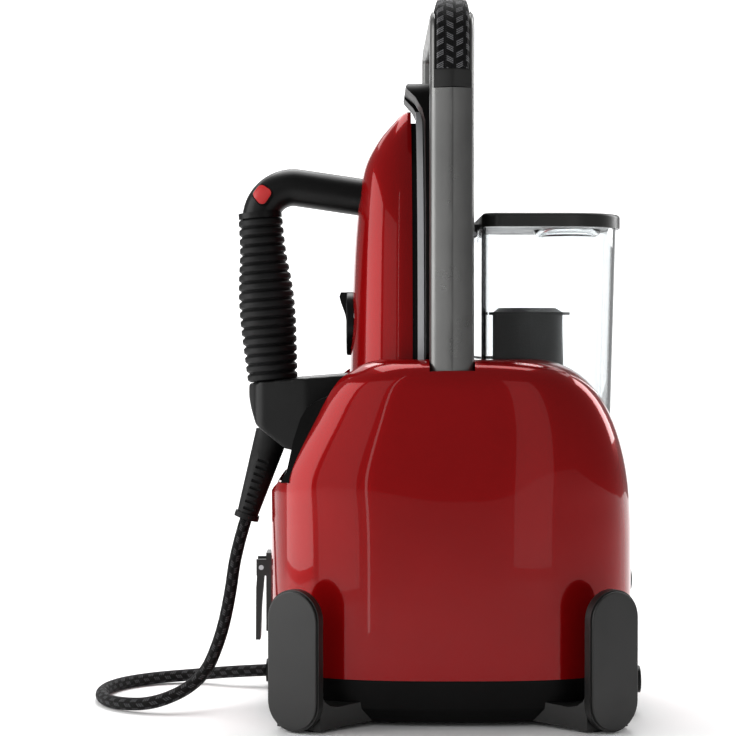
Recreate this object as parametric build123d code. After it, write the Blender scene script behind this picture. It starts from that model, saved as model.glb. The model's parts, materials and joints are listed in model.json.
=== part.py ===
"""Portable steam ironing station: base with tank, carry handle, docked iron and steam hose.

Millimetres, +Z up. The front, where the iron stands, faces -Y. The origin is the middle of
the outer box's bottom face, hose left out, so the feet stand on Z = 0.
"""
from build123d import *
from math import cos, pi, radians, sin, tan
import os

# Driving dimensions
HEIGHT = 420.0
WALL = 3.0

# Base body: half-width, front, back, rim and top
BODY_HALF = 84.0
BODY_FRONT = -99.0
BODY_BACK = 119.0
RIM_Z = 28.0
TOP_Z = 211.5
SHOULDER_R = 17.0
PLAN_POWER_X = 3.4
PLAN_POWER_Y = 2.8
PAN_Z = 2.6
PAN_FLOOR = 2.4

RING_STEPS = 32
SHOULDER_Y = 58.0
SHOULDER_Z = 100.0
SHOULDER_POWER = 2.25
FRONT_TABLE = [
    (28.0, -99.0, 3.4), (118.0, -99.0, 3.4), (132.0, -98.8, 3.7), (145.0, -98.0, 4.0), (152.0, -93.0, 4.15),
    (160.0, -87.8, 4.3), (175.0, -78.3, 4.7), (190.0, -69.2, 5.0), (200.5, -61.3, 5.0), (205.4, -54.7, 5.0),
    (209.5, -48.5, 5.0), (211.5, -43.0, 5.0),
]
BODY_LEVELS = [
    RIM_Z, 70.0, 100.0, 112.0, 122.0, 132.0, 139.0, 145.0, 152.0, 160.0, 168.0, 176.0, 184.0, 190.0, 195.0, 199.0,
    202.5, 205.4, 207.6, 209.2, 210.4, 211.2, TOP_Z,
]

# Trough for the iron and well for the tank
TROUGH_HALF = 60.0
TROUGH_Z = 139.2
TROUGH_BACK = 1.0
WELL_Z = 124.0

# Carry handle
ARCH_OUTER = 80.0
ARCH_THICK = 14.0
ARCH_Y0 = -4.6
ARCH_Y1 = 21.1
ARCH_MID = (ARCH_Y0 + ARCH_Y1) / 2
ARCH_TOP = HEIGHT - 4.0
ARCH_RADIUS = 16.0
ARCH_INNER_RADIUS = 6.0
ARCH_FOOT_Z = 40.0
CHANNEL_HALF = 11.0
CHANNEL_DEPTH = 5.0
CHANNEL_Z = 366.8
COLLAR_HEIGHT = 10.4

# Feet
FOOT_X = 89.0
FOOT_FRONT_Y = -81.0
FOOT_BACK_Y = 98.0
FOOT_TURN = 30.0
FOOT_HALF = 17.0
FOOT_HEIGHT = 81.5
FOOT_THICK = 6.0

# Water tank and filter
TANK_FRONT = 27.6
TANK_BACK = 110.2
TANK_HALF = 48.0
TANK_Z0 = 131.0
TANK_Z1 = 289.0
TANK_WALL = 2.2
LID_Z1 = 297.6
FILTER_Y = 57.6
FILTER_R = 22.5
FILTER_Z1 = 237.7

# Iron
IRON_BACK = -13.8
SKIRT_BACK = -10.7
SOLE_BACK = -7.0
IRON_TIP = 362.5
TUBE_R = 11.4
TUBE_BORE = 8.6
TUBE_BEND = 20.0
GRIP_TOP = (0.0, -106.1, 297.0)
GRIP_BOTTOM = (0.0, -98.6, 197.0)
TUBE_CORNER = (0.0, -107.7, 319.3)
TUBE_ENTRY = (0.0, -36.0, 308.7)
DIAL_Z = 232.4
DIAL_R = 19.5
BOOT_TOP = (0.0, -99.7, 162.6)
BOOT_END = (0.0, -115.2, 112.3)

# Mains inlet
INLET_X = 34.0
INLET_Z = 19.5
INLET_END = 122.6
INLET_FLANGE = 117.3

# Steam hose: its diameter, and the points of its route from the boot to the gland
HOSE_D = 7.6
HOSE_ROUTE = [
    (0.0, -115.23, 112.2),
    (0.0, -121.71, 91.174),
    (7.0, -124.5, 66.0),
    (19.0, -129.5, 41.0),
    (33.0, -139.5, 18.0),
    (43.0, -166.0, 6.0),
    (31.0, -193.5, 4.0),
    (4.0, -206.5, 4.0),
    (-26.7, -201.0, 4.0),
    (-47.5, -179.0, 4.0),
    (-51.7, -149.5, 5.5),
    (-42.0, -125.0, 9.3),
    (-40.0, -105.0, 10.5),
]

parts = {}


def block(x0, x1, y0, y1, z0, z1):
    """Box between two corners."""
    return Pos((x0 + x1) / 2, (y0 + y1) / 2, (z0 + z1) / 2) * Box(x1 - x0, y1 - y0, z1 - z0)


def rod(start, end, radius, end_radius=None):
    """Round bar, or cone, from one point to another."""
    line = Vector(*end) - Vector(*start)
    plane = Plane(origin=start, z_dir=line)
    if end_radius is None:
        return extrude(plane * Circle(radius), amount=line.length)
    return loft([plane * Circle(radius), plane.offset(line.length) * Circle(end_radius)])


def upright(x, y, z0, z1, radius):
    """Vertical round bar."""
    return rod((x, y, z0), (x, y, z1), radius)


def side_slab(points, half_width):
    """Side outline, given as (y, z) points, made solid across X."""
    return extrude(Plane.YZ * make_face(Polyline(*points, close=True)), amount=half_width, both=True)


def one_solid(shape):
    """The largest solid of a shape, without stray slivers."""
    return max(shape.solids(), key=lambda solid: solid.volume)


def superellipse(half_x, half_y, power_x, power_y, turn):
    """Point of a superellipse at a turn in radians."""
    cos_turn = cos(turn)
    sin_turn = sin(turn)
    x = half_x * abs(cos_turn) ** (2 / power_x) * (1 if cos_turn >= 0 else -1)
    y = half_y * abs(sin_turn) ** (2 / power_y) * (1 if sin_turn >= 0 else -1)
    return x, y


def body_ring(inset, half=BODY_HALF, front=BODY_FRONT, back=BODY_BACK, power=PLAN_POWER_X):
    """Plan outline of the base at one level, pulled in by an inset."""
    middle = (front + back) / 2
    points = []
    for step in range(RING_STEPS):
        turn = 2 * pi * (step + 0.5) / RING_STEPS
        x, y = superellipse(half - inset, (back - front) / 2 - inset, power, PLAN_POWER_Y, turn)
        points.append((x, y + middle))
    return make_face(Spline(*points, periodic=True))


def body_front(z):
    """Y of the body's front at a height: upright, then a slope above the trough's lip."""
    for (z0, y0, _), (z1, y1, _) in zip(FRONT_TABLE, FRONT_TABLE[1:]):
        if z <= z1:
            return y0 + (y1 - y0) * (z - z0) / (z1 - z0)
    return FRONT_TABLE[-1][1]


def body_power(z):
    """How square the plan's corners are at a height."""
    for (z0, _, p0), (z1, _, p1) in zip(FRONT_TABLE, FRONT_TABLE[1:]):
        if z <= z1:
            return p0 + (p1 - p0) * (z - z0) / (z1 - z0)
    return FRONT_TABLE[-1][2]


def body_back(z):
    """Y of the body's back at a height: upright, then a long round shoulder."""
    rise = max(z - SHOULDER_Z, 0.0) / (TOP_Z + 0.2 - SHOULDER_Z)
    return SHOULDER_Y + (BODY_BACK - SHOULDER_Y) * (1.0 - rise ** SHOULDER_POWER) ** (1 / SHOULDER_POWER)


def body_half(z):
    """Half-width of the body at a height: upright, then the rounded side shoulder."""
    rise = max(z - (TOP_Z - SHOULDER_R), 0.0) / (SHOULDER_R + 0.2)
    return BODY_HALF - SHOULDER_R * (1.0 - (1.0 - rise ** 2) ** 0.5)


def body_block(inset):
    """The base body as one block, pulled in by an inset."""
    rings = []
    for level in BODY_LEVELS:
        lower = inset * min(max((level - 185.0) / (TOP_Z - 185.0), 0.0), 1.0)
        z = level - lower - (1.0 if inset and level == RIM_Z else 0.0)
        rings.append(Pos(0, 0, z) * body_ring(
            inset, body_half(level), body_front(level), body_back(level), body_power(level)
        ))
    return loft(rings, ruled=True)


def tank_plan(half, front, back, z, corner=9.0, back_corner=34.0):
    """Plan of the tank: flat in front, well rounded at the back."""
    points = [(-half, front), (half, front), (half, back), (-half, back)]
    face = make_face(Polyline(*points, close=True))
    face = fillet(face.vertices().sort_by(Axis.Y)[:2], corner)
    face = fillet(face.vertices().sort_by(Axis.Y)[-2:], back_corner)
    return Pos(0, 0, z) * face


def leg_hole(side, gap):
    """Slot for one leg of the carry handle."""
    low = ARCH_OUTER - ARCH_THICK - gap
    high = ARCH_OUTER + gap
    leg = block(low, high, ARCH_Y0 - gap, ARCH_Y1 + gap, 30.0, 230.0)
    return leg if side > 0 else mirror(leg, about=Plane.YZ)


OUTER_BODY = body_block(0.0)
WELL_OUTER = loft([
    tank_plan(TANK_HALF + 2.6, TANK_FRONT - 3.4, TANK_BACK + 0.2, WELL_Z, 11.0, 36.0),
    tank_plan(TANK_HALF + 4.2, TANK_FRONT - 3.4, TANK_BACK + 3.8, WELL_Z + 120.0, 11.0, 37.0),
])
WELL_INNER = loft([
    tank_plan(TANK_HALF + 0.6, TANK_FRONT - 1.4, TANK_BACK - 1.8, WELL_Z - 0.5, 10.0, 35.0),
    tank_plan(TANK_HALF + 2.2, TANK_FRONT - 1.4, TANK_BACK + 1.8, WELL_Z + 120.0, 10.0, 36.0),
])


def body_shell():
    """Red shell, open below, with the trough in front and the tank well behind."""
    shell = OUTER_BODY - body_block(WALL)
    shell -= side_slab([
        (-125.0, 129.0), (-100.0, 129.0), (-97.1, 133.5), (-92.6, TROUGH_Z), (TROUGH_BACK, TROUGH_Z),
        (TROUGH_BACK, 240.0), (-125.0, 240.0),
    ], TROUGH_HALF)
    shell -= WELL_OUTER
    for side in (-1, 1):
        shell -= leg_hole(side, 0.2)
    shell -= block(-30.0, 30.0, BODY_BACK - 8.0, BODY_BACK + 5.0, 60.0, 92.0)
    return one_solid(shell)


def pan_ring(inset, z):
    """Plan of the base pan at one level."""
    return Pos(0, 0, z) * body_ring(inset)


def pan_block():
    """The base pan as one block: its sides tuck in towards the bottom."""
    return loft([pan_ring(7.5, PAN_Z), pan_ring(2.2, 11.0), pan_ring(0.6, RIM_Z)], ruled=True)


def base_pan():
    """Dark tray under the shell, with the boiler's stand and the screw posts."""
    hollow = [pan_ring(10.0, PAN_Z + PAN_FLOOR), pan_ring(4.8, 12.0), pan_ring(3.4, RIM_Z + 1.0)]
    pan = pan_block() - loft(hollow, ruled=True)
    pan -= rod((-40.0, -120.0, 10.5), (-40.0, -80.0, 10.5), 5.4)
    pan -= rod((INLET_X, 100.0, INLET_Z), (INLET_X, 130.0, INLET_Z), 6.0)
    for x in (-24.0, -12.0, 0.0, 12.0, 24.0):
        pan -= block(x - 2.0, x + 2.0, -12.0, 28.0, 0.0, PAN_Z + PAN_FLOOR + 1.0)
    stand = upright(0.0, BOILER_Y, PAN_Z + PAN_FLOOR - 0.5, 34.0, 34.0) - upright(0.0, BOILER_Y, 0.0, 40.0, 32.5)
    stand -= block(-60.0, 60.0, BOILER_Y - 12.0, BOILER_Y + 12.0, 12.0, 28.0)
    stand -= block(-12.0, 12.0, BOILER_Y - 60.0, BOILER_Y + 60.0, 12.0, 28.0)
    pan += stand
    for x, y in PAN_SCREWS:
        pan += upright(x, y, PAN_Z + PAN_FLOOR - 0.5, 24.0, 5.0)
        pan -= upright(x, y, 0.0, 20.0, 1.9)
        pan -= upright(x, y, 0.0, PAN_Z + 1.6, 3.6)
    return one_solid(pan)


PAN_SCREWS = [(-55.0, -60.0), (55.0, -60.0), (-55.0, 80.0), (62.0, 20.0)]


def pan_screws():
    """Four screws up through the pan."""
    group = []
    for x, y in PAN_SCREWS:
        screw = upright(x, y, PAN_Z + 0.2, PAN_Z + 1.6, 3.2) + upright(x, y, PAN_Z + 1.0, 18.0, 1.8)
        screw -= Pos(x, y, PAN_Z + 0.2) * Box(4.0, 0.8, 1.2)
        screw -= Pos(x, y, PAN_Z + 0.2) * Box(0.8, 4.0, 1.2)
        group.append(one_solid(screw))
    return group


def foot_place(x_side, y_side):
    """Frame of one foot: its own X points outward, its own Y along the paddle."""
    y = FOOT_FRONT_Y if y_side < 0 else FOOT_BACK_Y
    angle = FOOT_TURN * y_side
    if x_side < 0:
        angle = 180.0 - angle
    return Pos(x_side * FOOT_X, y, 0.0) * Rot(0, 0, angle)


def paddle(half, z0, z1, x0, x1):
    """Upright plate with round ends, in the foot's own frame."""
    middle = (z0 + z1) / 2
    face = Plane.YZ * (Pos(0, middle) * SlotOverall(z1 - z0, 2 * half, rotation=90))
    return Pos(x0, 0, 0) * extrude(face, amount=x1 - x0)


def foot(x_side, y_side):
    """Paddle foot: round-ended plate on an arm that flares into the base pan."""
    plate = paddle(FOOT_HALF, 0.6, FOOT_HEIGHT, -FOOT_THICK / 2, FOOT_THICK / 2)
    plate = fillet(plate.faces().sort_by(Axis.X)[0].edges(), 1.4)
    flare = 1.0 if x_side * y_side < 0 else -1.0
    low = 5.0 if flare < 0 else 0.0
    high = 5.0 if flare > 0 else 0.0
    plan = Polyline(
        (-2.9, -14.5), (-16.0, -15.5 - low), (-38.0, -22.0 - 2.0 * low),
        (-38.0, 22.0 + 2.0 * high), (-16.0, 15.5 + high), (-2.9, 14.5), close=True,
    )
    arm = Pos(0, 0, 1.0) * extrude(make_face(plan), amount=40.0)
    profile = Polyline(
        (-2.9, 1.2), (-2.9, 27.0), (-3.6, 22.0), (-5.6, 17.8), (-9.0, 15.0), (-14.0, 13.8),
        (-38.0, 15.6), (-38.0, 3.4), (-16.0, 2.2), close=True,
    )
    arm = arm & extrude(Plane.XZ * make_face(profile), amount=40.0, both=True)
    body = foot_place(x_side, y_side) * (plate + arm)
    body -= pan_block()
    body -= foot_place(x_side, y_side) * block(-14.0, -4.0, -7.5, 7.5, -1.0, 3.0)
    return one_solid(body)


def foot_cover(x_side, y_side):
    """Thin face of a paddle, with a shadow line round its edge."""
    half = FOOT_HALF - 0.9
    face = paddle(half, 1.5, FOOT_HEIGHT - 0.9, FOOT_THICK / 2, FOOT_THICK / 2 + 1.6)
    face = fillet(face.faces().sort_by(Axis.X)[-1].edges(), 0.7)
    return one_solid(foot_place(x_side, y_side) * face)


def foot_pad(x_side, y_side):
    """Rubber pad pressed up into the foot's arm; it stands on the table."""
    pad = fillet(block(-14.0, -4.0, -7.5, 7.5, 0.0, 3.0).edges().filter_by(Axis.Z), 2.0)
    return one_solid(foot_place(x_side, y_side) * pad)


def arch_outline(outer, top, thick, radius):
    """Inverted U in the XZ plane."""
    outside = Polyline((-outer, ARCH_FOOT_Z), (-outer, top), (outer, top), (outer, ARCH_FOOT_Z), close=True)
    face = fillet(make_face(outside).vertices().sort_by(Axis.Y)[-2:], radius)
    inner = outer - thick
    inside = Polyline(
        (-inner, ARCH_FOOT_Z - 1), (-inner, top - thick), (inner, top - thick), (inner, ARCH_FOOT_Z - 1), close=True
    )
    cut = fillet(make_face(inside).vertices().sort_by(Axis.Y)[-2:], max(radius - thick, ARCH_INNER_RADIUS))
    return face - cut


def arch_solid(outer, top, thick, radius, half):
    """Inverted U, centred on the handle's own plane."""
    face = Plane.XZ * arch_outline(outer, top, thick, radius)
    return Pos(0, ARCH_MID, 0) * extrude(face, amount=half, both=True)


def arch_channel():
    """Channel along the top of the handle for the woven sleeve and its two collars."""
    deep = arch_solid(ARCH_OUTER + 8.0, ARCH_TOP + 8.0, CHANNEL_DEPTH + 8.0, ARCH_RADIUS + 8.0, CHANNEL_HALF)
    return deep & block(-120.0, 120.0, -40.0, 60.0, CHANNEL_Z, HEIGHT + 20.0)


def rounded_arch():
    """The handle before its channel is cut: bowed outside, tight corners inside."""
    half = (ARCH_Y1 - ARCH_Y0) / 2
    solid = arch_solid(ARCH_OUTER, ARCH_TOP, ARCH_THICK, ARCH_RADIUS, half)
    outside = [
        edge for edge in solid.edges()
        if abs(abs(edge.center().Y - ARCH_MID) - half) < 0.01 and arch_side(edge) > 0
    ]
    solid = fillet(outside, 9.0)
    inside = [
        edge for edge in solid.edges()
        if abs(abs(edge.center().Y - ARCH_MID) - half) < 0.01 and arch_side(edge) < 0
        and edge.center().Z > ARCH_FOOT_Z + 1.0
    ]
    return fillet(inside, 2.2)


def arch_side(edge):
    """Positive for an edge on the outer face of the handle, negative on the inner face."""
    middle = edge.position_at(0.5)
    if middle.Z < ARCH_FOOT_Z + 0.5:
        return 0
    straight_z = ARCH_TOP - ARCH_RADIUS
    reach_x = max(abs(middle.X) - (ARCH_OUTER - ARCH_RADIUS), 0.0)
    reach_z = max(middle.Z - straight_z, 0.0)
    reach = (reach_x ** 2 + reach_z ** 2) ** 0.5
    return 1 if reach > ARCH_RADIUS - ARCH_THICK / 2 else -1


ARCH = rounded_arch()
HANDLE_SCREW_Y = (ARCH_MID - 7.0, ARCH_MID + 7.0)


def carry_handle():
    """Satin arch of the carry handle, with its legs running down inside the body."""
    handle = ARCH - arch_channel()
    for side in (-1, 1):
        for y in HANDLE_SCREW_Y:
            handle -= rod((side * 60.0, y, 50.0), (side * 70.0, y, 50.0), 1.8)
    return one_solid(handle)


def grip_sleeve():
    """Woven sleeve round the top of the arch, standing a little proud of the rails."""
    sleeve = arch_solid(ARCH_OUTER + 0.6, HEIGHT, CHANNEL_DEPTH + 4.0, ARCH_RADIUS + 4.0, CHANNEL_HALF - 1.0)
    sleeve &= arch_channel()
    sleeve &= block(-120.0, 120.0, -40.0, 60.0, CHANNEL_Z + COLLAR_HEIGHT, HEIGHT + 20.0)
    return one_solid(sleeve)


def handle_collar(side):
    """Smooth band that ends the woven sleeve on one leg."""
    band = ARCH & arch_channel() & block(20.0, 120.0, -40.0, 60.0, CHANNEL_Z, CHANNEL_Z + COLLAR_HEIGHT)
    band = one_solid(band)
    return band if side > 0 else mirror(band, about=Plane.YZ)


def handle_screws():
    """Screws that hold the handle's legs to the pan's brackets."""
    group = []
    for side in (-1, 1):
        for y in HANDLE_SCREW_Y:
            shank = rod((side * 59.0, y, 50.0), (side * 70.0, y, 50.0), 1.8)
            head = rod((side * 57.0, y, 50.0), (side * 59.0, y, 50.0), 3.4)
            group.append(one_solid(shank + head))
    return group


def handle_bracket(side):
    """Bracket from the pan's floor up the inner face of one leg."""
    post = block(59.0, 66.0, ARCH_Y0, ARCH_Y1, PAN_Z + PAN_FLOOR, 62.0)
    post += block(46.0, 66.0, ARCH_Y0, ARCH_Y1, PAN_Z + PAN_FLOOR, 9.0)
    for y in HANDLE_SCREW_Y:
        post -= rod((50.0, y, 50.0), (70.0, y, 50.0), 1.8)
    for x, y in PAN_SCREWS:
        post -= upright(x, y, 0.0, 30.0, 5.3)
    post = one_solid(post)
    return post if side > 0 else mirror(post, about=Plane.YZ)


def iron_outline(inset):
    """Half-widths of the iron's outline against height, tip first."""
    table = [
        (0.0, IRON_TIP - 0.4), (9.5, 353.5), (16.5, 344.0), (25.0, 328.5), (33.5, 308.0), (41.0, 282.0),
        (46.5, 251.0), (49.6, 215.0), (50.2, 185.0), (47.5, 160.0), (40.0, 150.5), (22.0, 148.0), (0.0, 147.6),
    ]
    out = []
    for half, z in table:
        out.append((max(half - inset, 0.0), z - inset * 1.6 if z > 340.0 else max(z, 147.6 + inset)))
    return out


def iron_plate(inset, y0, y1):
    """Flat plate with the iron's outline between two Y levels."""
    right = iron_outline(inset)
    left = [(-x, z) for x, z in reversed(right[1:-1])]
    points = [(x, z) for x, z in right + left]
    tip = points[0]
    curve = Spline(*points, tip)
    return Pos(0, y1, 0) * extrude(Plane.XZ * make_face(curve), amount=y1 - y0)


SHELL_STATIONS = [
    (151.0, 46.0, 37.4), (170.0, 49.8, 37.6), (215.0, 49.8, 37.0), (251.0, 46.6, 35.8), (282.0, 41.2, 34.2),
    (308.0, 33.7, 31.6), (328.5, 25.2, 27.8), (344.0, 16.7, 19.8), (353.5, 9.7, 12.0), (361.0, 3.2, 4.6),
]


def shell_section(half, deep, z):
    """Domed half-section of the iron's shell at one height."""
    points = []
    for step in range(9):
        x, y = superellipse(half, deep, 2.5, 2.3, pi * step / 8)
        points.append((x, IRON_BACK - y))
    face = make_face(Curve() + [Spline(*points), Line(points[-1], points[0])])
    return Pos(0, 0, z) * face


def shell_block(inset):
    """The iron's shell as one block, pulled in by an inset."""
    faces = []
    for z, half, deep in SHELL_STATIONS:
        if half - inset > 2.0 and deep - inset > 2.0:
            faces.append(shell_section(half - inset, deep - inset, z + (2.0 * inset if z < 160.0 else 0.0)))
    return loft(faces)


def handle_path():
    """Centre line of the iron's handle tube, from the shell over the bend to the heel cover."""
    return FilletPolyline(TUBE_ENTRY, TUBE_CORNER, (0.0, -98.3, 193.0), radius=TUBE_BEND)


def tube_along(path, radius):
    """Round bar swept along a path."""
    return sweep(Plane(origin=path @ 0, z_dir=path % 0) * Circle(radius), path=path)


HANDLE_PATH = handle_path()
HANDLE_BAR = tube_along(HANDLE_PATH, TUBE_R)
HANDLE_BORE = tube_along(HANDLE_PATH, TUBE_BORE)
BUTTON_OUTLINE = [(-110.8, 311.0), (-105.6, 317.8), (-97.8, 312.6), (-104.2, 303.0)]
BUTTON_TRAVEL = 1.2
BUTTON_SEAT = 9.0


def button_region(grow, half):
    """Leaf outline of the steam button seen from the side, made solid across X."""
    face = make_face(Polyline(*BUTTON_OUTLINE, close=True))
    face = fillet(face.vertices(), 3.0)
    if grow:
        face = offset(face, amount=grow)
    return extrude(Plane.YZ * face, amount=half, both=True)


def button_window():
    """Room for the button in the tube, over its whole travel."""
    window = button_region(0.6, 14.0)
    for share in (0.5, 1.0):
        shift = share * BUTTON_TRAVEL * 0.7071
        window += Pos(0, shift, -shift) * button_region(0.6, 14.0)
    return window


def steam_button():
    """Red saddle on the outside of the bend, under the thumb."""
    bar = tube_along(HANDLE_PATH, TUBE_R + 1.0)
    core = tube_along(HANDLE_PATH, BUTTON_SEAT + 1.3)
    return one_solid((bar - core) & button_region(0.0, 13.0))


def handle_tube():
    """Black tube of the iron's handle, hollow, with a pocket for the button."""
    tube = HANDLE_BAR - HANDLE_BORE
    tube -= button_window() - tube_along(HANDLE_PATH, BUTTON_SEAT)
    tube -= shell_block(0.0)
    return one_solid(tube)


def grip_radius(along):
    """Radius of the ribbed grip at a fraction of its length from the top."""
    table = [(0.0, 13.5), (0.2, 14.2), (0.42, 16.6), (0.6, 17.2), (0.8, 16.4), (1.0, 15.3)]
    for (a0, r0), (a1, r1) in zip(table, table[1:]):
        if along <= a1:
            return r0 + (r1 - r0) * (along - a0) / (a1 - a0)
    return table[-1][1]


GRIP_RIBS = 18


def ribbed_grip():
    """Rubber grip with a row of ribs, moulded round the tube."""
    start = Vector(*GRIP_TOP)
    line = Vector(*GRIP_BOTTOM) - start
    length = line.length
    pitch = length / GRIP_RIBS
    points = [(TUBE_R - 1.0, 0.0)]
    for rib in range(GRIP_RIBS):
        top = rib * pitch
        bottom = top + pitch
        outer = grip_radius((rib + 0.5) / GRIP_RIBS)
        groove = outer - 1.3
        points += [(groove, top), (groove, top + 0.5), (outer, top + 0.8), (outer, bottom - 0.8), (groove, bottom - 0.5)]
        points.append((groove, bottom))
    points.append((TUBE_R - 1.0, length))
    clean = [points[0]]
    for point in points[1:]:
        if abs(point[0] - clean[-1][0]) + abs(point[1] - clean[-1][1]) > 0.01:
            clean.append(point)
    face = make_face(Polyline(*clean, close=True))
    spun = revolve(Plane.XZ * face, axis=Axis.Z, revolution_arc=360.0)
    place = Plane(origin=start, x_dir=(1, 0, 0), z_dir=line)
    return one_solid(place * spun - HANDLE_BAR)


def grip_collar():
    """Smooth ring above the ribs."""
    line = (Vector(*GRIP_BOTTOM) - Vector(*GRIP_TOP)).normalized()
    top = Vector(*GRIP_TOP) - line * 3.4
    ring = rod(tuple(top), GRIP_TOP, 13.3)
    ring -= tube_along(HANDLE_PATH, TUBE_R)
    return one_solid(ring)


def boot_cone(grow):
    """Cone of the hose boot, long enough to run up inside the heel cover."""
    line = (Vector(*BOOT_TOP) - Vector(*BOOT_END)).normalized()
    top = Vector(*BOOT_TOP) + line * 14.0
    return rod(BOOT_END, tuple(top), 6.3 + grow, 11.2 + grow)


def heel_cover():
    """Satin bowl that joins the foot of the grip to the iron's heel."""
    points = [
        (-114.0, 196.4), (-83.0, 199.2), (-57.0, 201.2), (-42.0, 202.0), (-42.0, 160.0), (-84.0, 155.5),
        (-90.3, 156.6), (-97.0, 161.6), (-108.4, 170.6), (-111.8, 180.6), (-113.8, 190.0),
    ]
    bowl = side_slab(points, 26.0)
    plan = Polyline((-26.0, -40.0), (-26.0, -78.0), (-16.0, -108.0), (0.0, -114.2), (16.0, -108.0), (26.0, -78.0),
                    (26.0, -40.0), close=True)
    plan = fillet(make_face(plan).vertices().sort_by(Axis.Y)[:3], 12.0)
    bowl &= Pos(0, 0, 140.0) * extrude(plan, amount=80.0)
    bowl = one_solid(bowl)
    bowl -= shell_block(0.0)
    bowl -= HANDLE_BAR
    bowl -= boot_cone(0.0)
    line = (Vector(*GRIP_BOTTOM) - Vector(*GRIP_TOP)).normalized()
    bowl -= rod(tuple(Vector(*GRIP_BOTTOM) - line * 8.0), GRIP_BOTTOM, 17.0)
    return one_solid(bowl)


def hose_boot():
    """Tapered rubber boot with rows of slots and an end flange."""
    boot = boot_cone(0.0) & block(-30.0, 30.0, -140.0, -60.0, 100.0, 168.0)
    line = (Vector(*BOOT_TOP) - Vector(*BOOT_END)).normalized()
    flange_top = Vector(*BOOT_END) + line * 3.4
    boot += rod(BOOT_END, tuple(flange_top), 7.7)
    place = Plane(origin=BOOT_END, x_dir=(1, 0, 0), z_dir=line)
    for ring in range(8):
        level = 6.6 + 4.4 * ring
        radius = 6.3 + 4.9 * level / 66.0
        for side in (-1, 1):
            slot = Pos(side * (radius + 1.0), 0, level) * Box(6.0, 7.0, 1.7)
            boot -= place * slot
    return one_solid(boot)


def iron_shell():
    """Red shell of the iron, domed in front and flat at the back."""
    shell = shell_block(0.0) - shell_block(2.6)
    shell -= casting_outline(0.4, IRON_BACK - 6.0, IRON_BACK + 1.0)
    pocket = rod((0.0, -80.0, DIAL_Z), (0.0, -48.4, DIAL_Z), DIAL_R + 0.5)
    shell += rod((0.0, -48.2, DIAL_Z), (0.0, -45.4, DIAL_Z), DIAL_R + 2.5) & shell_block(0.0)
    shell -= pocket
    shell -= rod((0.0, -80.0, DIAL_Z), (0.0, -30.0, DIAL_Z), 4.5)
    return one_solid(shell)


def iron_skirt():
    """Black insulating plate between the shell and the soleplate."""
    skirt = iron_plate(1.6, IRON_BACK, SKIRT_BACK)
    skirt &= block(-60.0, 60.0, IRON_BACK - 1.0, SKIRT_BACK + 1.0, 100.0, 354.6)
    skirt -= casting_outline(0.0, IRON_BACK - 1.0, SKIRT_BACK + 1.0)
    return one_solid(skirt)


def soleplate():
    """Polished steel soleplate with three rows of steam holes."""
    plate = iron_plate(0.0, SKIRT_BACK, SOLE_BACK)
    for level in range(9):
        z = 176.0 + 16.0 * level
        half = 12.0 + 24.0 * (304.0 - z) / 128.0
        for x in (-half, 0.0, half):
            plate -= rod((x, SKIRT_BACK - 1.0, z), (x, SOLE_BACK + 1.0, z), 1.5)
    return one_solid(plate)


def casting_outline(grow, y0, y1):
    """Boat-shaped outline of the heater casting between two Y levels."""
    points = [
        (-29.0, 170.0), (29.0, 170.0), (33.0, 215.0), (29.0, 256.0), (19.0, 290.0), (0.0, 318.0),
        (-19.0, 290.0), (-29.0, 256.0), (-33.0, 215.0),
    ]
    face = make_face(Polyline(*points, close=True))
    if grow:
        face = offset(face, amount=grow)
    return Pos(0, y1, 0) * extrude(Plane.XZ * face, amount=y1 - y0)


def heater_casting():
    """Cast heater body behind the soleplate, with its element cast in and a steam chamber."""
    casting = casting_outline(0.0, -28.0, SKIRT_BACK)
    casting -= block(-10.0, 10.0, -29.0, -18.0, 190.0, 262.0)
    path = FilletPolyline((-19.0, -28.0, 180.0), (-19.0, -28.0, 276.0), (19.0, -28.0, 276.0), (19.0, -28.0, 180.0),
                          radius=17.0)
    casting += tube_along(path, 3.4)
    return one_solid(casting)


def iron_thermostat():
    """Thermostat under the dial."""
    body = block(-11.0, 11.0, -36.0, -28.2, DIAL_Z - 11.0, DIAL_Z + 11.0)
    body -= rod((0.0, -50.0, DIAL_Z), (0.0, -30.0, DIAL_Z), 3.05)
    body &= block(-11.0, 11.0, -36.0, -28.2, DIAL_Z - 11.0, DIAL_Z + 11.0)
    return one_solid(body)


def thermostat_dial():
    """Flat dial with a raised finger tab at its upper edge and a shaft down into the thermostat."""
    disc = rod((0.0, -53.2, DIAL_Z), (0.0, -48.8, DIAL_Z), DIAL_R)
    disc = fillet(disc.edges().group_by(Axis.Y)[0], 1.0)
    tab = side_slab([(-50.0, 234.0), (-53.0, 232.0), (-54.0, 238.0), (-56.6, 245.0), (-57.6, 249.0), (-56.6, 251.6),
                     (-53.0, 251.6), (-50.0, 250.0)], 4.0)
    tab &= rod((0.0, -60.0, DIAL_Z), (0.0, -48.8, DIAL_Z), DIAL_R)
    shaft = rod((0.0, -50.0, DIAL_Z), (0.0, -30.4, DIAL_Z), 3.0)
    return one_solid(disc + tab + shaft)


def microswitch():
    """Switch inside the bend, under the steam button."""
    return one_solid(Pos(0, -99.6, 309.2) * Rot(45, 0, 0) * Box(6.0, 9.0, 5.0))


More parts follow.
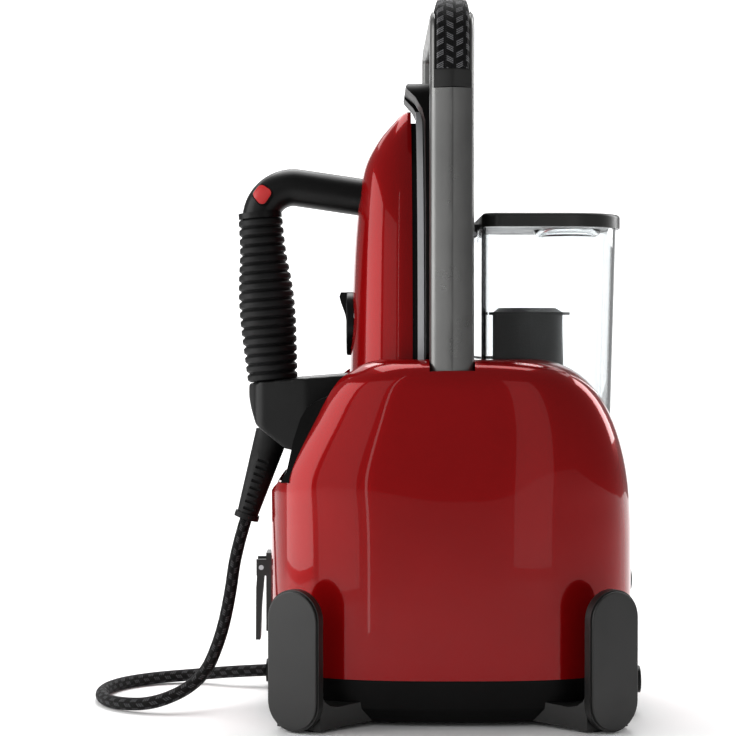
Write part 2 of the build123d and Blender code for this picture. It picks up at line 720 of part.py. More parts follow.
def rest_plate():
    """Plate behind the iron, with its upper edge flared forward over the iron's tip."""
    profile = [
        (-6.4, 146.0), (-6.4, 352.0), (-8.2, 359.0), (-12.0, 366.0), (-17.0, 371.2), (-17.6, 373.2), (-16.2, 375.4),
        (-1.6, 375.4), (-1.6, 146.0),
    ]
    plate = side_slab(profile, 70.0)
    outline = Polyline((-57.3, 146.0), (57.3, 146.0), (57.3, 212.0), (66.0, 215.0), (66.0, 300.0), (38.0, 375.4),
                       (-38.0, 375.4), (-66.0, 300.0), (-66.0, 215.0), (-57.3, 212.0), close=True)
    face = fillet(make_face(outline).vertices().group_by(Axis.Y)[-1], 12.0)
    plate &= Pos(0, 10.0, 0) * extrude(Plane.XZ * face, amount=40.0)
    relief = [(-6.6, 335.0), (-6.6, 364.0), (-30.0, 384.0), (-30.0, 335.0)]
    plate -= side_slab(relief, 13.0)
    hollow = side_slab([(-4.0, 366.0), (-12.5, 372.6), (-4.0, 372.6)], 30.0)
    plate -= hollow
    ribs = block(-40.0, 40.0, -3.0, 0.0, 170.0, 340.0)
    plate -= ribs
    return one_solid(plate)


CRADLE_FLOOR = [(-92.0, 141.6), (-1.4, 145.8)]


def cradle_insert():
    """Dark liner of the trough: sloping floor, two cheeks and a back."""
    outer = block(-TROUGH_HALF + 0.1, TROUGH_HALF - 0.1, -98.0, TROUGH_BACK - 0.1, TROUGH_Z + 0.2, 209.0)
    inner = side_slab([(-120.0, 141.6), CRADLE_FLOOR[0], CRADLE_FLOOR[1], (-1.4, 230.0), (-120.0, 230.0)],
                      TROUGH_HALF - 2.5)
    cheek = side_slab([
        (-91.0, TROUGH_Z), (-89.8, 142.6), (-87.6, 145.5), (-83.6, 164.0), (-79.4, 177.0),
        (-75.6, 183.4), (-69.0, 187.6), (-58.0, 192.0), (-45.0, 200.0), (-30.0, 206.0), (TROUGH_BACK, 207.6),
        (TROUGH_BACK, TROUGH_Z),
    ], TROUGH_HALF)
    liner = (outer & cheek) - inner
    return one_solid(liner)


def heel_pad(side):
    """Heat-proof pad that the soleplate's heel stands on."""
    pad = block(14.0, 30.0, -12.0, -6.8, 140.0, 147.0)
    pad -= side_slab([(-92.0, 100.0), CRADLE_FLOOR[0], CRADLE_FLOOR[1], (-1.4, 100.0)], 70.0)
    pad = one_solid(pad)
    return pad if side > 0 else mirror(pad, about=Plane.YZ)


def tank_body():
    """Clear tank, open at the top, with a valve hole in its floor."""
    outer = loft([
        tank_plan(TANK_HALF - 1.6, TANK_FRONT, TANK_BACK - 3.8, TANK_Z0),
        tank_plan(TANK_HALF, TANK_FRONT, TANK_BACK, TANK_Z1),
    ])
    inner = loft([
        tank_plan(TANK_HALF - 1.6 - TANK_WALL, TANK_FRONT + TANK_WALL, TANK_BACK - 3.8 - TANK_WALL,
                  TANK_Z0 + 2.6, 7.0, 32.0),
        tank_plan(TANK_HALF - TANK_WALL, TANK_FRONT + TANK_WALL, TANK_BACK - TANK_WALL, TANK_Z1 + 1.0, 7.0, 32.0),
    ])
    tank = outer - inner
    tank += upright(0.0, FILTER_Y, TANK_Z0 + 2.0, TANK_Z0 + 10.0, 27.0)
    tank -= upright(0.0, FILTER_Y, TANK_Z0 + 4.0, TANK_Z0 + 11.0, FILTER_R + 0.4)
    tank -= upright(0.0, FILTER_Y, TANK_Z0 - 1.0, TANK_Z0 + 8.0, 9.0)
    tank += lid_hinge_lugs()
    return one_solid(tank)


HINGE_Y = TANK_FRONT - 2.6
HINGE_Z = TANK_Z1 - 2.0


def lid_hinge_lugs():
    """Two lugs on the outside of the tank's front wall that carry the lid's pin."""
    lugs = block(-9.0, -6.0, HINGE_Y - 2.4, TANK_FRONT + 1.0, HINGE_Z - 5.0, TANK_Z1)
    lugs += block(6.0, 9.0, HINGE_Y - 2.4, TANK_FRONT + 1.0, HINGE_Z - 5.0, TANK_Z1)
    lugs -= rod((-12.0, HINGE_Y, HINGE_Z), (12.0, HINGE_Y, HINGE_Z), 1.3)
    return lugs


def lid_pin():
    """Steel pin of the lid's hinge."""
    return one_solid(rod((-9.0, HINGE_Y, HINGE_Z), (9.0, HINGE_Y, HINGE_Z), 1.25))


def tank_lid():
    """Dark lid with a round recess for the finger dish and a hinge tongue."""
    lid = extrude(tank_plan(TANK_HALF + 2.4, TANK_FRONT - 0.2, TANK_BACK + 2.2, TANK_Z1 + 0.4, 11.0, 36.0),
                  amount=LID_Z1 - TANK_Z1 - 0.4)
    lid = fillet(lid.faces().sort_by(Axis.Z)[-1].edges(), 2.0)
    lid -= upright(0.0, 82.5, TANK_Z1 - 2.0, LID_Z1 + 2.0, 21.0)
    tongue = block(-5.6, 5.6, HINGE_Y - 2.1, HINGE_Y + 2.1, HINGE_Z, TANK_Z1 + 4.0)
    tongue += block(-5.6, 5.6, HINGE_Y - 2.1, TANK_FRONT + 1.0, TANK_Z1 + 0.4, TANK_Z1 + 4.0)
    tongue += rod((-5.6, HINGE_Y, HINGE_Z), (5.6, HINGE_Y, HINGE_Z), 2.1)
    tongue -= rod((-12.0, HINGE_Y, HINGE_Z), (12.0, HINGE_Y, HINGE_Z), 1.3)
    return one_solid(lid + tongue)


def lid_dish():
    """Clear bowl set in the lid as a finger recess."""
    arc = ThreePointArc((17.5, -4.2), (20.0, -2.4), (21.0, 0.0))
    outer = Curve() + [Polyline((0.0, -4.2), (17.5, -4.2)), arc,
                       Polyline((21.0, 0.0), (21.0, 4.0), (19.4, 4.0), (19.4, 0.2), (16.5, -2.6), (0.0, -2.6),
                                (0.0, -4.2))]
    spun = revolve(Plane.XZ * make_face(outer), axis=Axis.Z, revolution_arc=360.0)
    return one_solid(Pos(0, 82.5, TANK_Z1 + 0.4) * spun)


def filter_cartridge():
    """Scale filter that stands in the tank."""
    body = upright(0.0, FILTER_Y, TANK_Z0 + 4.3, FILTER_Z1, FILTER_R)
    body = fillet(body.edges().group_by(Axis.Z)[0], 1.0)
    return one_solid(body)


def filter_cap():
    """Flanged, slightly domed cap on the cartridge."""
    rim = upright(0.0, FILTER_Y, FILTER_Z1, FILTER_Z1 + 1.6, 26.6)
    dome = Pos(0, FILTER_Y, FILTER_Z1 + 1.6) * extrude(Circle(22.0), amount=2.6, taper=60)
    return one_solid(rim + dome)


def tank_valve():
    """Spring valve in the floor of the tank."""
    valve = upright(0.0, FILTER_Y, TANK_Z0 - 3.0, TANK_Z0 + 3.8, 8.9)
    valve -= upright(0.0, FILTER_Y, TANK_Z0 - 4.0, TANK_Z0 + 1.0, 3.0)
    return one_solid(valve)


def tank_seat():
    """Dark cup that lines the tank well, trimmed flush with the body."""
    seat = (WELL_OUTER - WELL_INNER) & OUTER_BODY
    floor = extrude(tank_plan(TANK_HALF + 2.6, TANK_FRONT - 3.4, TANK_BACK + 0.2, WELL_Z - 2.0, 11.0, 36.0),
                    amount=2.4)
    seat = one_solid(seat + floor)
    seat -= upright(0.0, FILTER_Y, WELL_Z - 3.0, WELL_Z + 2.0, 6.0)
    return one_solid(seat)


def seat_seal():
    """Rubber ring round the socket that the tank valve stands in."""
    ring = upright(0.0, FILTER_Y, WELL_Z + 0.4, WELL_Z + 3.4, 12.0) - upright(0.0, FILTER_Y, WELL_Z, WELL_Z + 4.0, 9.4)
    return one_solid(ring)


BOILER_Y = -34.0


def boiler_vessel():
    """Pressure vessel of the boiler."""
    vessel = upright(0.0, BOILER_Y, 34.0, 96.0, 43.0)
    return one_solid(fillet(vessel.edges(), 8.0))


def boiler_jacket():
    """Felt jacket round the boiler."""
    jacket = upright(0.0, BOILER_Y, 43.0, 87.0, 46.0) - upright(0.0, BOILER_Y, 42.0, 88.0, 43.0)
    return one_solid(jacket)


def boiler_heater():
    """Ring element brazed under the boiler."""
    ring = Pos(0, BOILER_Y, 29.9) * Torus(24.0, 4.0)
    return one_solid(ring)


def safety_valve():
    """Pressure relief valve on top of the boiler."""
    hexagon = Pos(24.0, BOILER_Y, 96.0) * extrude(RegularPolygon(7.0, 6), amount=7.0)
    return one_solid(hexagon + upright(24.0, BOILER_Y, 102.0, 114.0, 4.4))


def boiler_thermostat():
    """Disc thermostat on top of the boiler."""
    return one_solid(upright(-22.0, BOILER_Y, 96.0, 100.0, 8.0) + upright(-22.0, BOILER_Y, 99.0, 106.0, 5.5))


VALVE_Y = BOILER_Y - 20.0


def solenoid_valve():
    """Steam valve with its coil, bored for the plunger."""
    valve = block(-11.0, 11.0, VALVE_Y - 9.0, VALVE_Y + 9.0, 96.0, 120.0)
    valve -= upright(0.0, VALVE_Y, 101.0, 121.0, 4.05)
    return one_solid(valve)


def solenoid_plunger():
    """Plunger of the steam valve."""
    return one_solid(upright(0.0, VALVE_Y, 101.3, 118.0, 4.0))


PUMP_X = 38.0
PUMP_Z = 30.0


def pump_body():
    """Vibration pump that feeds the boiler."""
    body = rod((PUMP_X, 34.0, PUMP_Z), (PUMP_X, 92.0, PUMP_Z), 19.0)
    body += rod((PUMP_X, 26.0, PUMP_Z), (PUMP_X, 98.0, PUMP_Z), 8.0)
    body -= rod((PUMP_X, 45.0, PUMP_Z), (PUMP_X, 81.0, PUMP_Z), 6.05)
    return one_solid(body)


def pump_plunger():
    """Plunger that the pump's coil shakes to and fro."""
    return one_solid(rod((PUMP_X, 48.0, PUMP_Z), (PUMP_X, 78.0, PUMP_Z), 6.0))


def pump_mounts():
    """Two rubber saddles under the pump."""
    group = []
    for y in (40.0, 78.0):
        saddle = block(PUMP_X - 13.0, PUMP_X + 13.0, y, y + 8.0, PAN_Z + PAN_FLOOR, 22.0)
        saddle -= rod((PUMP_X, y - 1.0, PUMP_Z), (PUMP_X, y + 9.0, PUMP_Z), 19.0)
        group.append(one_solid(saddle))
    return Compound(group)


def control_board():
    """Circuit board with its larger components."""
    board = block(-58.0, -56.4, 34.0, 84.0, 26.0, 92.0)
    board += block(-56.4, -44.0, 40.0, 58.0, 34.0, 48.0)
    board += block(-56.4, -50.0, 62.0, 76.0, 56.0, 70.0)
    board += rod((-56.4, 50.0, 74.0), (-42.0, 50.0, 74.0), 6.0)
    return one_solid(board)


def feed_tube():
    """Water tube from the tank socket down to the pump."""
    path = FilletPolyline((0.0, FILTER_Y, WELL_Z - 2.0), (0.0, FILTER_Y, 96.0), (0.0, 100.0, 96.0),
                          (PUMP_X, 107.0, PUMP_Z), (PUMP_X, 98.0, PUMP_Z), radius=4.0)
    return one_solid(tube_along(path, 3.5))


def boiler_tube():
    """Water tube from the pump to the boiler."""
    path = FilletPolyline((PUMP_X, 26.0, PUMP_Z), (PUMP_X, 16.0, PUMP_Z), (30.0, 16.0, 92.0), (24.0, 16.0, 104.0),
                          (14.0, -20.0, 104.0), (14.0, -20.0, 96.0), radius=4.5)
    return one_solid(tube_along(path, 3.0))


def steam_tube():
    """Steam tube from the valve down to the hose gland."""
    path = FilletPolyline((-11.0, VALVE_Y, 110.0), (-24.0, VALVE_Y, 110.0), (-40.0, -85.0, 110.0), (-40.0, -85.0, 40.0),
                          (-40.0, -76.0, 10.5), (-40.0, -84.0, 10.5), radius=3.6)
    return one_solid(tube_along(path, 3.0))


def hose_gland():
    """Gland in the pan where the steam hose goes in."""
    gland = rod((-40.0, -105.0, 10.5), (-40.0, -98.2, 10.5), 7.2, 8.2)
    gland += rod((-40.0, -99.0, 10.5), (-40.0, -84.0, 10.5), 5.3)
    gland -= pan_block() - rod((-40.0, -120.0, 10.5), (-40.0, -80.0, 10.5), 5.4)
    return one_solid(gland)


def mains_inlet():
    """Gland at the back for the mains lead."""
    inlet = rod((INLET_X, 100.0, INLET_Z), (INLET_X, INLET_END, INLET_Z), 5.9)
    inlet += rod((INLET_X, INLET_FLANGE, INLET_Z), (INLET_X, INLET_END, INLET_Z), 8.0)
    inlet -= rod((INLET_X, 99.0, INLET_Z), (INLET_X, INLET_END + 1.0, INLET_Z), 3.6)
    return one_solid(inlet)


def steam_hose():
    """Braided hose: straight runs joined by tangent arcs."""
    route = [Vector(*point) for point in HOSE_ROUTE]
    radii = []
    for before, here, after in zip(route, route[1:], route[2:]):
        run_in = here - before
        run_out = after - here
        half_turn = radians(run_in.get_angle(run_out)) / 2
        radii.append(0.45 * min(run_in.length, run_out.length) / tan(half_turn))
    path = FilletPolyline(*route, radius=radii)
    return one_solid(tube_along(path, HOSE_D / 2))


def control_panel():
    """Panel let into the back of the body, with pockets for the buttons."""
    panel = block(-29.8, 29.8, BODY_BACK - 7.6, BODY_BACK - 0.6, 60.2, 91.8)
    panel &= OUTER_BODY
    for x in (-14.0, 8.0):
        panel -= rod((x, 100.0, 76.0), (x, 130.0, 76.0), 7.4)
    panel -= rod((22.5, 100.0, 76.0), (22.5, 130.0, 76.0), 2.6)
    return one_solid(panel)


def panel_button(x):
    """Round push button."""
    button = rod((x, 109.0, 76.0), (x, 121.0, 76.0), 7.0)
    return one_solid(fillet(button.edges().group_by(Axis.Y)[-1], 0.8))


def lamp_lens():
    """Clear lens of the ready lamp."""
    return one_solid(rod((22.5, 111.4, 76.0), (22.5, 118.6, 76.0), 2.6))


CLIP_Z = 83.0
CLIP_Y = -105.4


def clip_bracket():
    """Bracket on the body's front that carries the clip lever."""
    plate = block(-9.0, 9.0, -102.4, BODY_FRONT + 0.4, 44.0, 92.0)
    plate -= OUTER_BODY
    ears = block(-9.0, -6.2, CLIP_Y - 3.0, -101.0, CLIP_Z - 5.0, CLIP_Z + 5.0)
    ears += block(6.2, 9.0, CLIP_Y - 3.0, -101.0, CLIP_Z - 5.0, CLIP_Z + 5.0)
    bracket = plate + ears
    bracket -= rod((-12.0, CLIP_Y, CLIP_Z), (12.0, CLIP_Y, CLIP_Z), 1.5)
    return one_solid(bracket)


def clip_pin():
    """Pin of the clip lever."""
    return one_solid(rod((-9.0, CLIP_Y, CLIP_Z), (9.0, CLIP_Y, CLIP_Z), 1.5))


def clip_lever():
    """Sprung lever of the front clip."""
    lever = side_slab([(-107.8, 84.0), (-108.8, 70.0), (-109.0, 38.0), (-106.2, 38.0), (-105.4, 60.0), (-103.4, 82.0)],
                      5.8)
    lever += rod((-5.8, CLIP_Y, CLIP_Z), (5.8, CLIP_Y, CLIP_Z), 2.6)
    lever -= rod((-12.0, CLIP_Y, CLIP_Z), (12.0, CLIP_Y, CLIP_Z), 1.55)
    return one_solid(lever)


def all_feet(make):
    """One piece at each foot, as a group."""
    return Compound([make(x_side, y_side) for x_side in (-1, 1) for y_side in (-1, 1)])


def both_sides(make):
    """The left and right one of a pair, as a group."""
    return Compound([make(-1), make(1)])


def build():
    """Make every piece under its node name."""
    parts["body_shell"] = body_shell()
    parts["base_pan"] = base_pan()
    parts["base_screws"] = Compound(pan_screws() + handle_screws())
    parts["foot_front_left"] = foot(-1, -1)
    parts["foot_front_right"] = foot(1, -1)
    parts["foot_rear_left"] = foot(-1, 1)
    parts["foot_rear_right"] = foot(1, 1)
    parts["foot_covers"] = all_feet(foot_cover)
    parts["foot_pads"] = all_feet(foot_pad)
    parts["carry_handle"] = carry_handle()
    parts["grip_sleeve"] = grip_sleeve()
    parts["handle_collars"] = both_sides(handle_collar)
    parts["handle_brackets"] = both_sides(handle_bracket)
    parts["rest_plate"] = rest_plate()
    parts["cradle_insert"] = cradle_insert()
    parts["heel_pads"] = both_sides(heel_pad)
    parts["tank_seat"] = tank_seat()
    parts["seat_seal"] = seat_seal()
    parts["tank_body"] = tank_body()
    parts["tank_valve"] = tank_valve()
    parts["lid_pin"] = lid_pin()
    parts["tank_lid"] = tank_lid()
    parts["lid_dish"] = lid_dish()
    parts["filter_cartridge"] = filter_cartridge()
    parts["filter_cap"] = filter_cap()
    parts["boiler_vessel"] = boiler_vessel()
    parts["boiler_jacket"] = boiler_jacket()
    parts["boiler_heater"] = boiler_heater()
    parts["safety_valve"] = safety_valve()
    parts["boiler_thermostat"] = boiler_thermostat()
    parts["solenoid_valve"] = solenoid_valve()
    parts["solenoid_plunger"] = solenoid_plunger()
    parts["pump_body"] = pump_body()
    parts["pump_plunger"] = pump_plunger()
    parts["pump_mounts"] = pump_mounts()
    parts["control_board"] = control_board()
    parts["inner_tubes"] = Compound([feed_tube(), boiler_tube(), steam_tube()])
    parts["hose_gland"] = hose_gland()
    parts["mains_inlet"] = mains_inlet()
    parts["control_panel"] = control_panel()
    parts["power_button"] = panel_button(-14.0)
    parts["eco_button"] = panel_button(8.0)
    parts["lamp_lens"] = lamp_lens()
    parts["clip_bracket"] = clip_bracket()
    parts["clip_pin"] = clip_pin()
    parts["clip_lever"] = clip_lever()
    parts["iron_shell"] = iron_shell()
    parts["iron_skirt"] = iron_skirt()
    parts["soleplate"] = soleplate()
    parts["heater_casting"] = heater_casting()
    parts["iron_thermostat"] = iron_thermostat()
    parts["thermostat_dial"] = thermostat_dial()
    parts["handle_tube"] = handle_tube()
    parts["ribbed_grip"] = ribbed_grip()
    parts["grip_collar"] = grip_collar()
    parts["heel_cover"] = heel_cover()
    parts["steam_button"] = steam_button()
    parts["microswitch"] = microswitch()
    parts["hose_boot"] = hose_boot()
    parts["steam_hose"] = steam_hose()


build()
os.makedirs("parts", exist_ok=True)
for name, shape in parts.items():
    export_step(shape, f"parts/{name}.step")
print(len(parts), "parts")
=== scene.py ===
import json
from math import cos, pi, radians, sin

import bmesh
import bpy
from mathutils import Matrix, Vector


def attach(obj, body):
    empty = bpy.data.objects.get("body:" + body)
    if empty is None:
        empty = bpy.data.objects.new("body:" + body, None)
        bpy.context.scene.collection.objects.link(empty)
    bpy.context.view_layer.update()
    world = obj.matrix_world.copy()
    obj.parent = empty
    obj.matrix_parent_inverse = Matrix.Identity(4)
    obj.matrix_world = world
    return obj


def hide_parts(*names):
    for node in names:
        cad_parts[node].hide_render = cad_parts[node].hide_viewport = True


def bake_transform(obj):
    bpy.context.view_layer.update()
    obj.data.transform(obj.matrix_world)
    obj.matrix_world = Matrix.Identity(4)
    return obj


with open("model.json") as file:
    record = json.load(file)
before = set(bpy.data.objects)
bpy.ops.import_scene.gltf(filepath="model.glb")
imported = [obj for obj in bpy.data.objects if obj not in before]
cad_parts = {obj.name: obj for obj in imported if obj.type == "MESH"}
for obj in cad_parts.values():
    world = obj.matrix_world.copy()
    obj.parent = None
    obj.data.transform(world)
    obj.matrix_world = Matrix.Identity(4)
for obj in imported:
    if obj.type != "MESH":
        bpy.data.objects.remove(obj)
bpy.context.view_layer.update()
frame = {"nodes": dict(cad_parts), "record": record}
nodes = frame["nodes"]


# ---------------------------------------------------------------- small helpers

def new_object(name, mesh):
    """Link a mesh into the scene under a name."""
    obj = bpy.data.objects.new(name, mesh)
    bpy.context.scene.collection.objects.link(obj)
    return obj


def grid_mesh(name, rows, closed_across=True, cap_ends=True, uv=None):
    """Skin a list of equally long point rows; the rows may be closed rings."""
    bm = bmesh.new()
    verts = [[bm.verts.new(p) for p in row] for row in rows]
    count = len(rows[0])
    layer = bm.loops.layers.uv.new("UVMap") if uv else None
    for r in range(len(rows) - 1):
        span = count if closed_across else count - 1
        for c in range(span):
            d = (c + 1) % count
            face = bm.faces.new((verts[r][c], verts[r][d], verts[r + 1][d], verts[r + 1][c]))
            face.smooth = True
            if layer:
                coords = (uv(r, c), uv(r, c + 1), uv(r + 1, c + 1), uv(r + 1, c))
                for loop, value in zip(face.loops, coords):
                    loop[layer].uv = value
    if cap_ends and closed_across:
        for row in (verts[0], verts[-1]):
            bm.faces.new(row)
    bmesh.ops.recalc_face_normals(bm, faces=bm.faces)
    mesh = bpy.data.meshes.new(name)
    bm.to_mesh(mesh)
    bm.free()
    return mesh


def apply_modifiers(obj):
    """Bake an object's modifiers into its mesh."""
    bpy.context.view_layer.update()
    graph = bpy.context.evaluated_depsgraph_get()
    mesh = bpy.data.meshes.new_from_object(obj.evaluated_get(graph))
    obj.modifiers.clear()
    obj.data = mesh


def cut(obj, tool):
    """Cut a tool's volume out of a mesh and remove the tool."""
    mod = obj.modifiers.new("cut", "BOOLEAN")
    mod.operation = "DIFFERENCE"
    mod.solver = "EXACT"
    mod.object = tool
    apply_modifiers(obj)
    bpy.data.objects.remove(tool)


def prism(name, outline, axis, low, high):
    """Prism from a 2-D outline; axis is the index of the direction it runs along."""
    bm = bmesh.new()
    rings = []
    for level in (low, high):
        ring = []
        for a, b in outline:
            co = [a, b]
            co.insert(axis, level)
            ring.append(bm.verts.new(co))
        rings.append(ring)
    count = len(outline)
    for i in range(count):
        j = (i + 1) % count
        bm.faces.new((rings[0][i], rings[0][j], rings[1][j], rings[1][i]))
    bm.faces.new(rings[0])
    bm.faces.new(rings[1])
    bmesh.ops.recalc_face_normals(bm, faces=bm.faces)
    mesh = bpy.data.meshes.new(name)
    bm.to_mesh(mesh)
    bm.free()
    return new_object(name, mesh)


def shade(obj, angle=35.0):
    """Smooth shading with sharp edges above an angle."""
    for poly in obj.data.polygons:
        poly.use_smooth = True
    obj.data.set_sharp_from_angle(angle=radians(angle))


def between(table, at):
    """Smooth reading of a table of (position, value, ...) rows."""
    if at <= table[0][0]:
        return table[0][1:]
    if at >= table[-1][0]:
        return table[-1][1:]
    i = next(k for k in range(len(table) - 1) if at <= table[k + 1][0])
    before = table[max(i - 1, 0)]
    after = table[min(i + 2, len(table) - 1)]
    lo, hi = table[i], table[i + 1]
    span = hi[0] - lo[0]
    t = (at - lo[0]) / span
    out = []
    for k in range(1, len(lo)):
        slope_in = (hi[k] - before[k]) / max(hi[0] - before[0], 1e-9) * span
        slope_out = (after[k] - lo[k]) / max(after[0] - lo[0], 1e-9) * span
        h = t * t * (3 - 2 * t)
        out.append(lo[k] * (1 - h) + hi[k] * h + slope_in * t * (1 - t) ** 2 - slope_out * t * t * (1 - t))
    return out


# ---------------------------------------------------------------- materials

NOISE_LOW, NOISE_HIGH = 0.3, 0.7


class Shader:
    """One Principled material with the nodes that feed it."""

    def __init__(self, name, **values):
        self.material = bpy.data.materials.new(name)
        self.material.use_nodes = True
        self.tree = self.material.node_tree
        self.bsdf = self.tree.nodes["Principled BSDF"]
        for socket, value in values.items():
            self.bsdf.inputs[socket.replace("_", " ")].default_value = value
        self.normal = None

    def node(self, kind):
        return self.tree.nodes.new(kind)

    def link(self, out, socket):
        self.tree.links.new(out, socket)

    def coords(self, kind="Object"):
        return self.node("ShaderNodeTexCoord").outputs[kind]

    def noise(self, scale, detail=2.0, stretch=None):
        """Noise over the object's own coordinates, stretched along its axes where asked."""
        made = self.node("ShaderNodeTexNoise")
        made.inputs["Scale"].default_value = scale
        made.inputs["Detail"].default_value = detail
        source = self.coords()
        if stretch:
            mapping = self.node("ShaderNodeMapping")
            mapping.inputs["Scale"].default_value = stretch
            self.link(source, mapping.inputs["Vector"])
            source = mapping.outputs["Vector"]
        self.link(source, made.inputs["Vector"])
        return made.outputs["Fac"]

    def ramp(self, value, low, high, low_out=0.0, high_out=1.0):
        """Map one range of a value onto another."""
        made = self.node("ShaderNodeMapRange")
        made.inputs["From Min"].default_value = low
        made.inputs["From Max"].default_value = high
        made.inputs["To Min"].default_value = low_out
        made.inputs["To Max"].default_value = high_out
        self.link(value, made.inputs["Value"])
        return made.outputs["Result"]

    def math(self, kind, *values):
        """Sum, product or comparison of sockets and numbers."""
        made = self.node("ShaderNodeMath")
        made.operation = kind
        for slot, value in enumerate(values):
            if isinstance(value, (int, float)):
                made.inputs[slot].default_value = value
            else:
                self.link(value, made.inputs[slot])
        return made.outputs[0]

    def mix(self, value, first, second):
        """Colour between two colours, by a value."""
        made = self.node("ShaderNodeMix")
        made.data_type = "RGBA"
        self.link(value, made.inputs["Factor"])
        for socket, colour in ((made.inputs["A"], first), (made.inputs["B"], second)):
            if isinstance(colour, tuple):
                socket.default_value = colour + (1.0,)
            else:
                self.link(colour, socket)
        return made.outputs["Result"]

    def colour(self, value):
        self.link(value, self.bsdf.inputs["Base Color"])

    def rough(self, value):
        self.link(value, self.bsdf.inputs["Roughness"])

    def bump(self, height, distance, strength=1.0):
        """Add relief on top of any relief added before."""
        made = self.node("ShaderNodeBump")
        made.inputs["Distance"].default_value = distance
        made.inputs["Strength"].default_value = strength
        self.link(height, made.inputs["Height"])
        if self.normal is not None:
            self.link(self.normal, made.inputs["Normal"])
        self.normal = made.outputs["Normal"]
        self.link(self.normal, self.bsdf.inputs["Normal"])


def plastic(name, low, high, rough, grain=1400.0, depth=0.00003, spread=0.06, **values):
    """Moulded plastic: fine sparked texture, slight drift of colour and gloss."""
    s = Shader(name, **values)
    drift = s.ramp(s.noise(22.0, 4.0), NOISE_LOW, NOISE_HIGH)
    s.colour(s.mix(drift, low, high))
    s.rough(s.ramp(s.noise(60.0, 3.0), NOISE_LOW, NOISE_HIGH, rough - spread, rough + spread))
    s.bump(s.noise(grain, 2.0), depth)
    return s.material


def red_lacquer():
    """Deep red under a clear coat, its own gloss tinted red."""
    s = Shader("red_lacquer", Metallic=0.3, Coat_Weight=1.0, Coat_Roughness=0.02, Coat_IOR=1.3,
               Specular_IOR_Level=0.0)
    drift = s.ramp(s.noise(14.0, 3.0), NOISE_LOW, NOISE_HIGH)
    s.colour(s.mix(drift, (0.25, 0.0025, 0.0030), (0.28, 0.0030, 0.0040)))
    s.rough(s.ramp(s.noise(40.0, 3.0), NOISE_LOW, NOISE_HIGH, 0.16, 0.22))
    s.bump(s.noise(240.0, 1.0), 0.00001, 0.4)
    return s.material


def rubber(name, low=(0.004, 0.004, 0.004), high=(0.008, 0.008, 0.0085), rough=0.52):
    """Matt rubber with patches that are a little shinier."""
    s = Shader(name, IOR=1.45, Specular_IOR_Level=0.2)
    s.colour(s.mix(s.ramp(s.noise(60.0, 4.0), NOISE_LOW, NOISE_HIGH), low, high))
    s.rough(s.ramp(s.noise(180.0, 3.0), NOISE_LOW, NOISE_HIGH, rough - 0.08, rough + 0.08))
    s.bump(s.noise(1800.0, 2.0), 0.00003)
    return s.material


def steel(name, colour, rough, stretch=(60.0, 60.0, 2.0), metallic=1.0):
    """Brushed steel: fine lines in colour, gloss and relief."""
    s = Shader(name, Metallic=metallic)
    lines = s.noise(40.0, 3.0, stretch=stretch)
    s.colour(s.mix(lines, tuple(c * 0.88 for c in colour), colour))
    s.rough(s.ramp(lines, 0.2, 0.8, rough - 0.05, rough + 0.10))
    s.bump(lines, 0.000006)
    return s.material


def cast_metal(name, colour):
    """Cast or turned metal with a grainy skin."""
    s = Shader(name, Metallic=1.0)
    grain = s.noise(500.0, 4.0)
    s.colour(s.mix(grain, tuple(c * 0.8 for c in colour), colour))
    s.rough(s.ramp(s.noise(120.0, 3.0), NOISE_LOW, NOISE_HIGH, 0.36, 0.52))
    s.bump(grain, 0.00008)
    return s.material


ABSORBED = (0.50, 0.53, 0.55, 1.0)
ABSORB_DENSITY = 40.0


def clear_plastic(name, tint=(0.97, 0.985, 0.99)):
    """Clear moulding that darkens where the sight line runs along a wall."""
    s = Shader(name, Transmission_Weight=1.0, IOR=1.46)
    drift = s.ramp(s.noise(12.0, 2.0), NOISE_LOW, NOISE_HIGH)
    s.colour(s.mix(drift, tint, tuple(min(c * 1.01, 1.0) for c in tint)))
    s.rough(s.ramp(s.noise(90.0, 3.0), 0.35, 0.7, 0.0, 0.02))
    s.bump(s.noise(90.0, 1.0), 0.000006, 0.3)
    absorb = s.node("ShaderNodeVolumeAbsorption")
    absorb.inputs["Color"].default_value = ABSORBED
    absorb.inputs["Density"].default_value = ABSORB_DENSITY
    s.link(absorb.outputs["Volume"], s.tree.nodes["Material Output"].inputs["Volume"])
    return s.material


STRANDS_PER_CYCLE = 6.0
GREY_STRANDS = 3.0


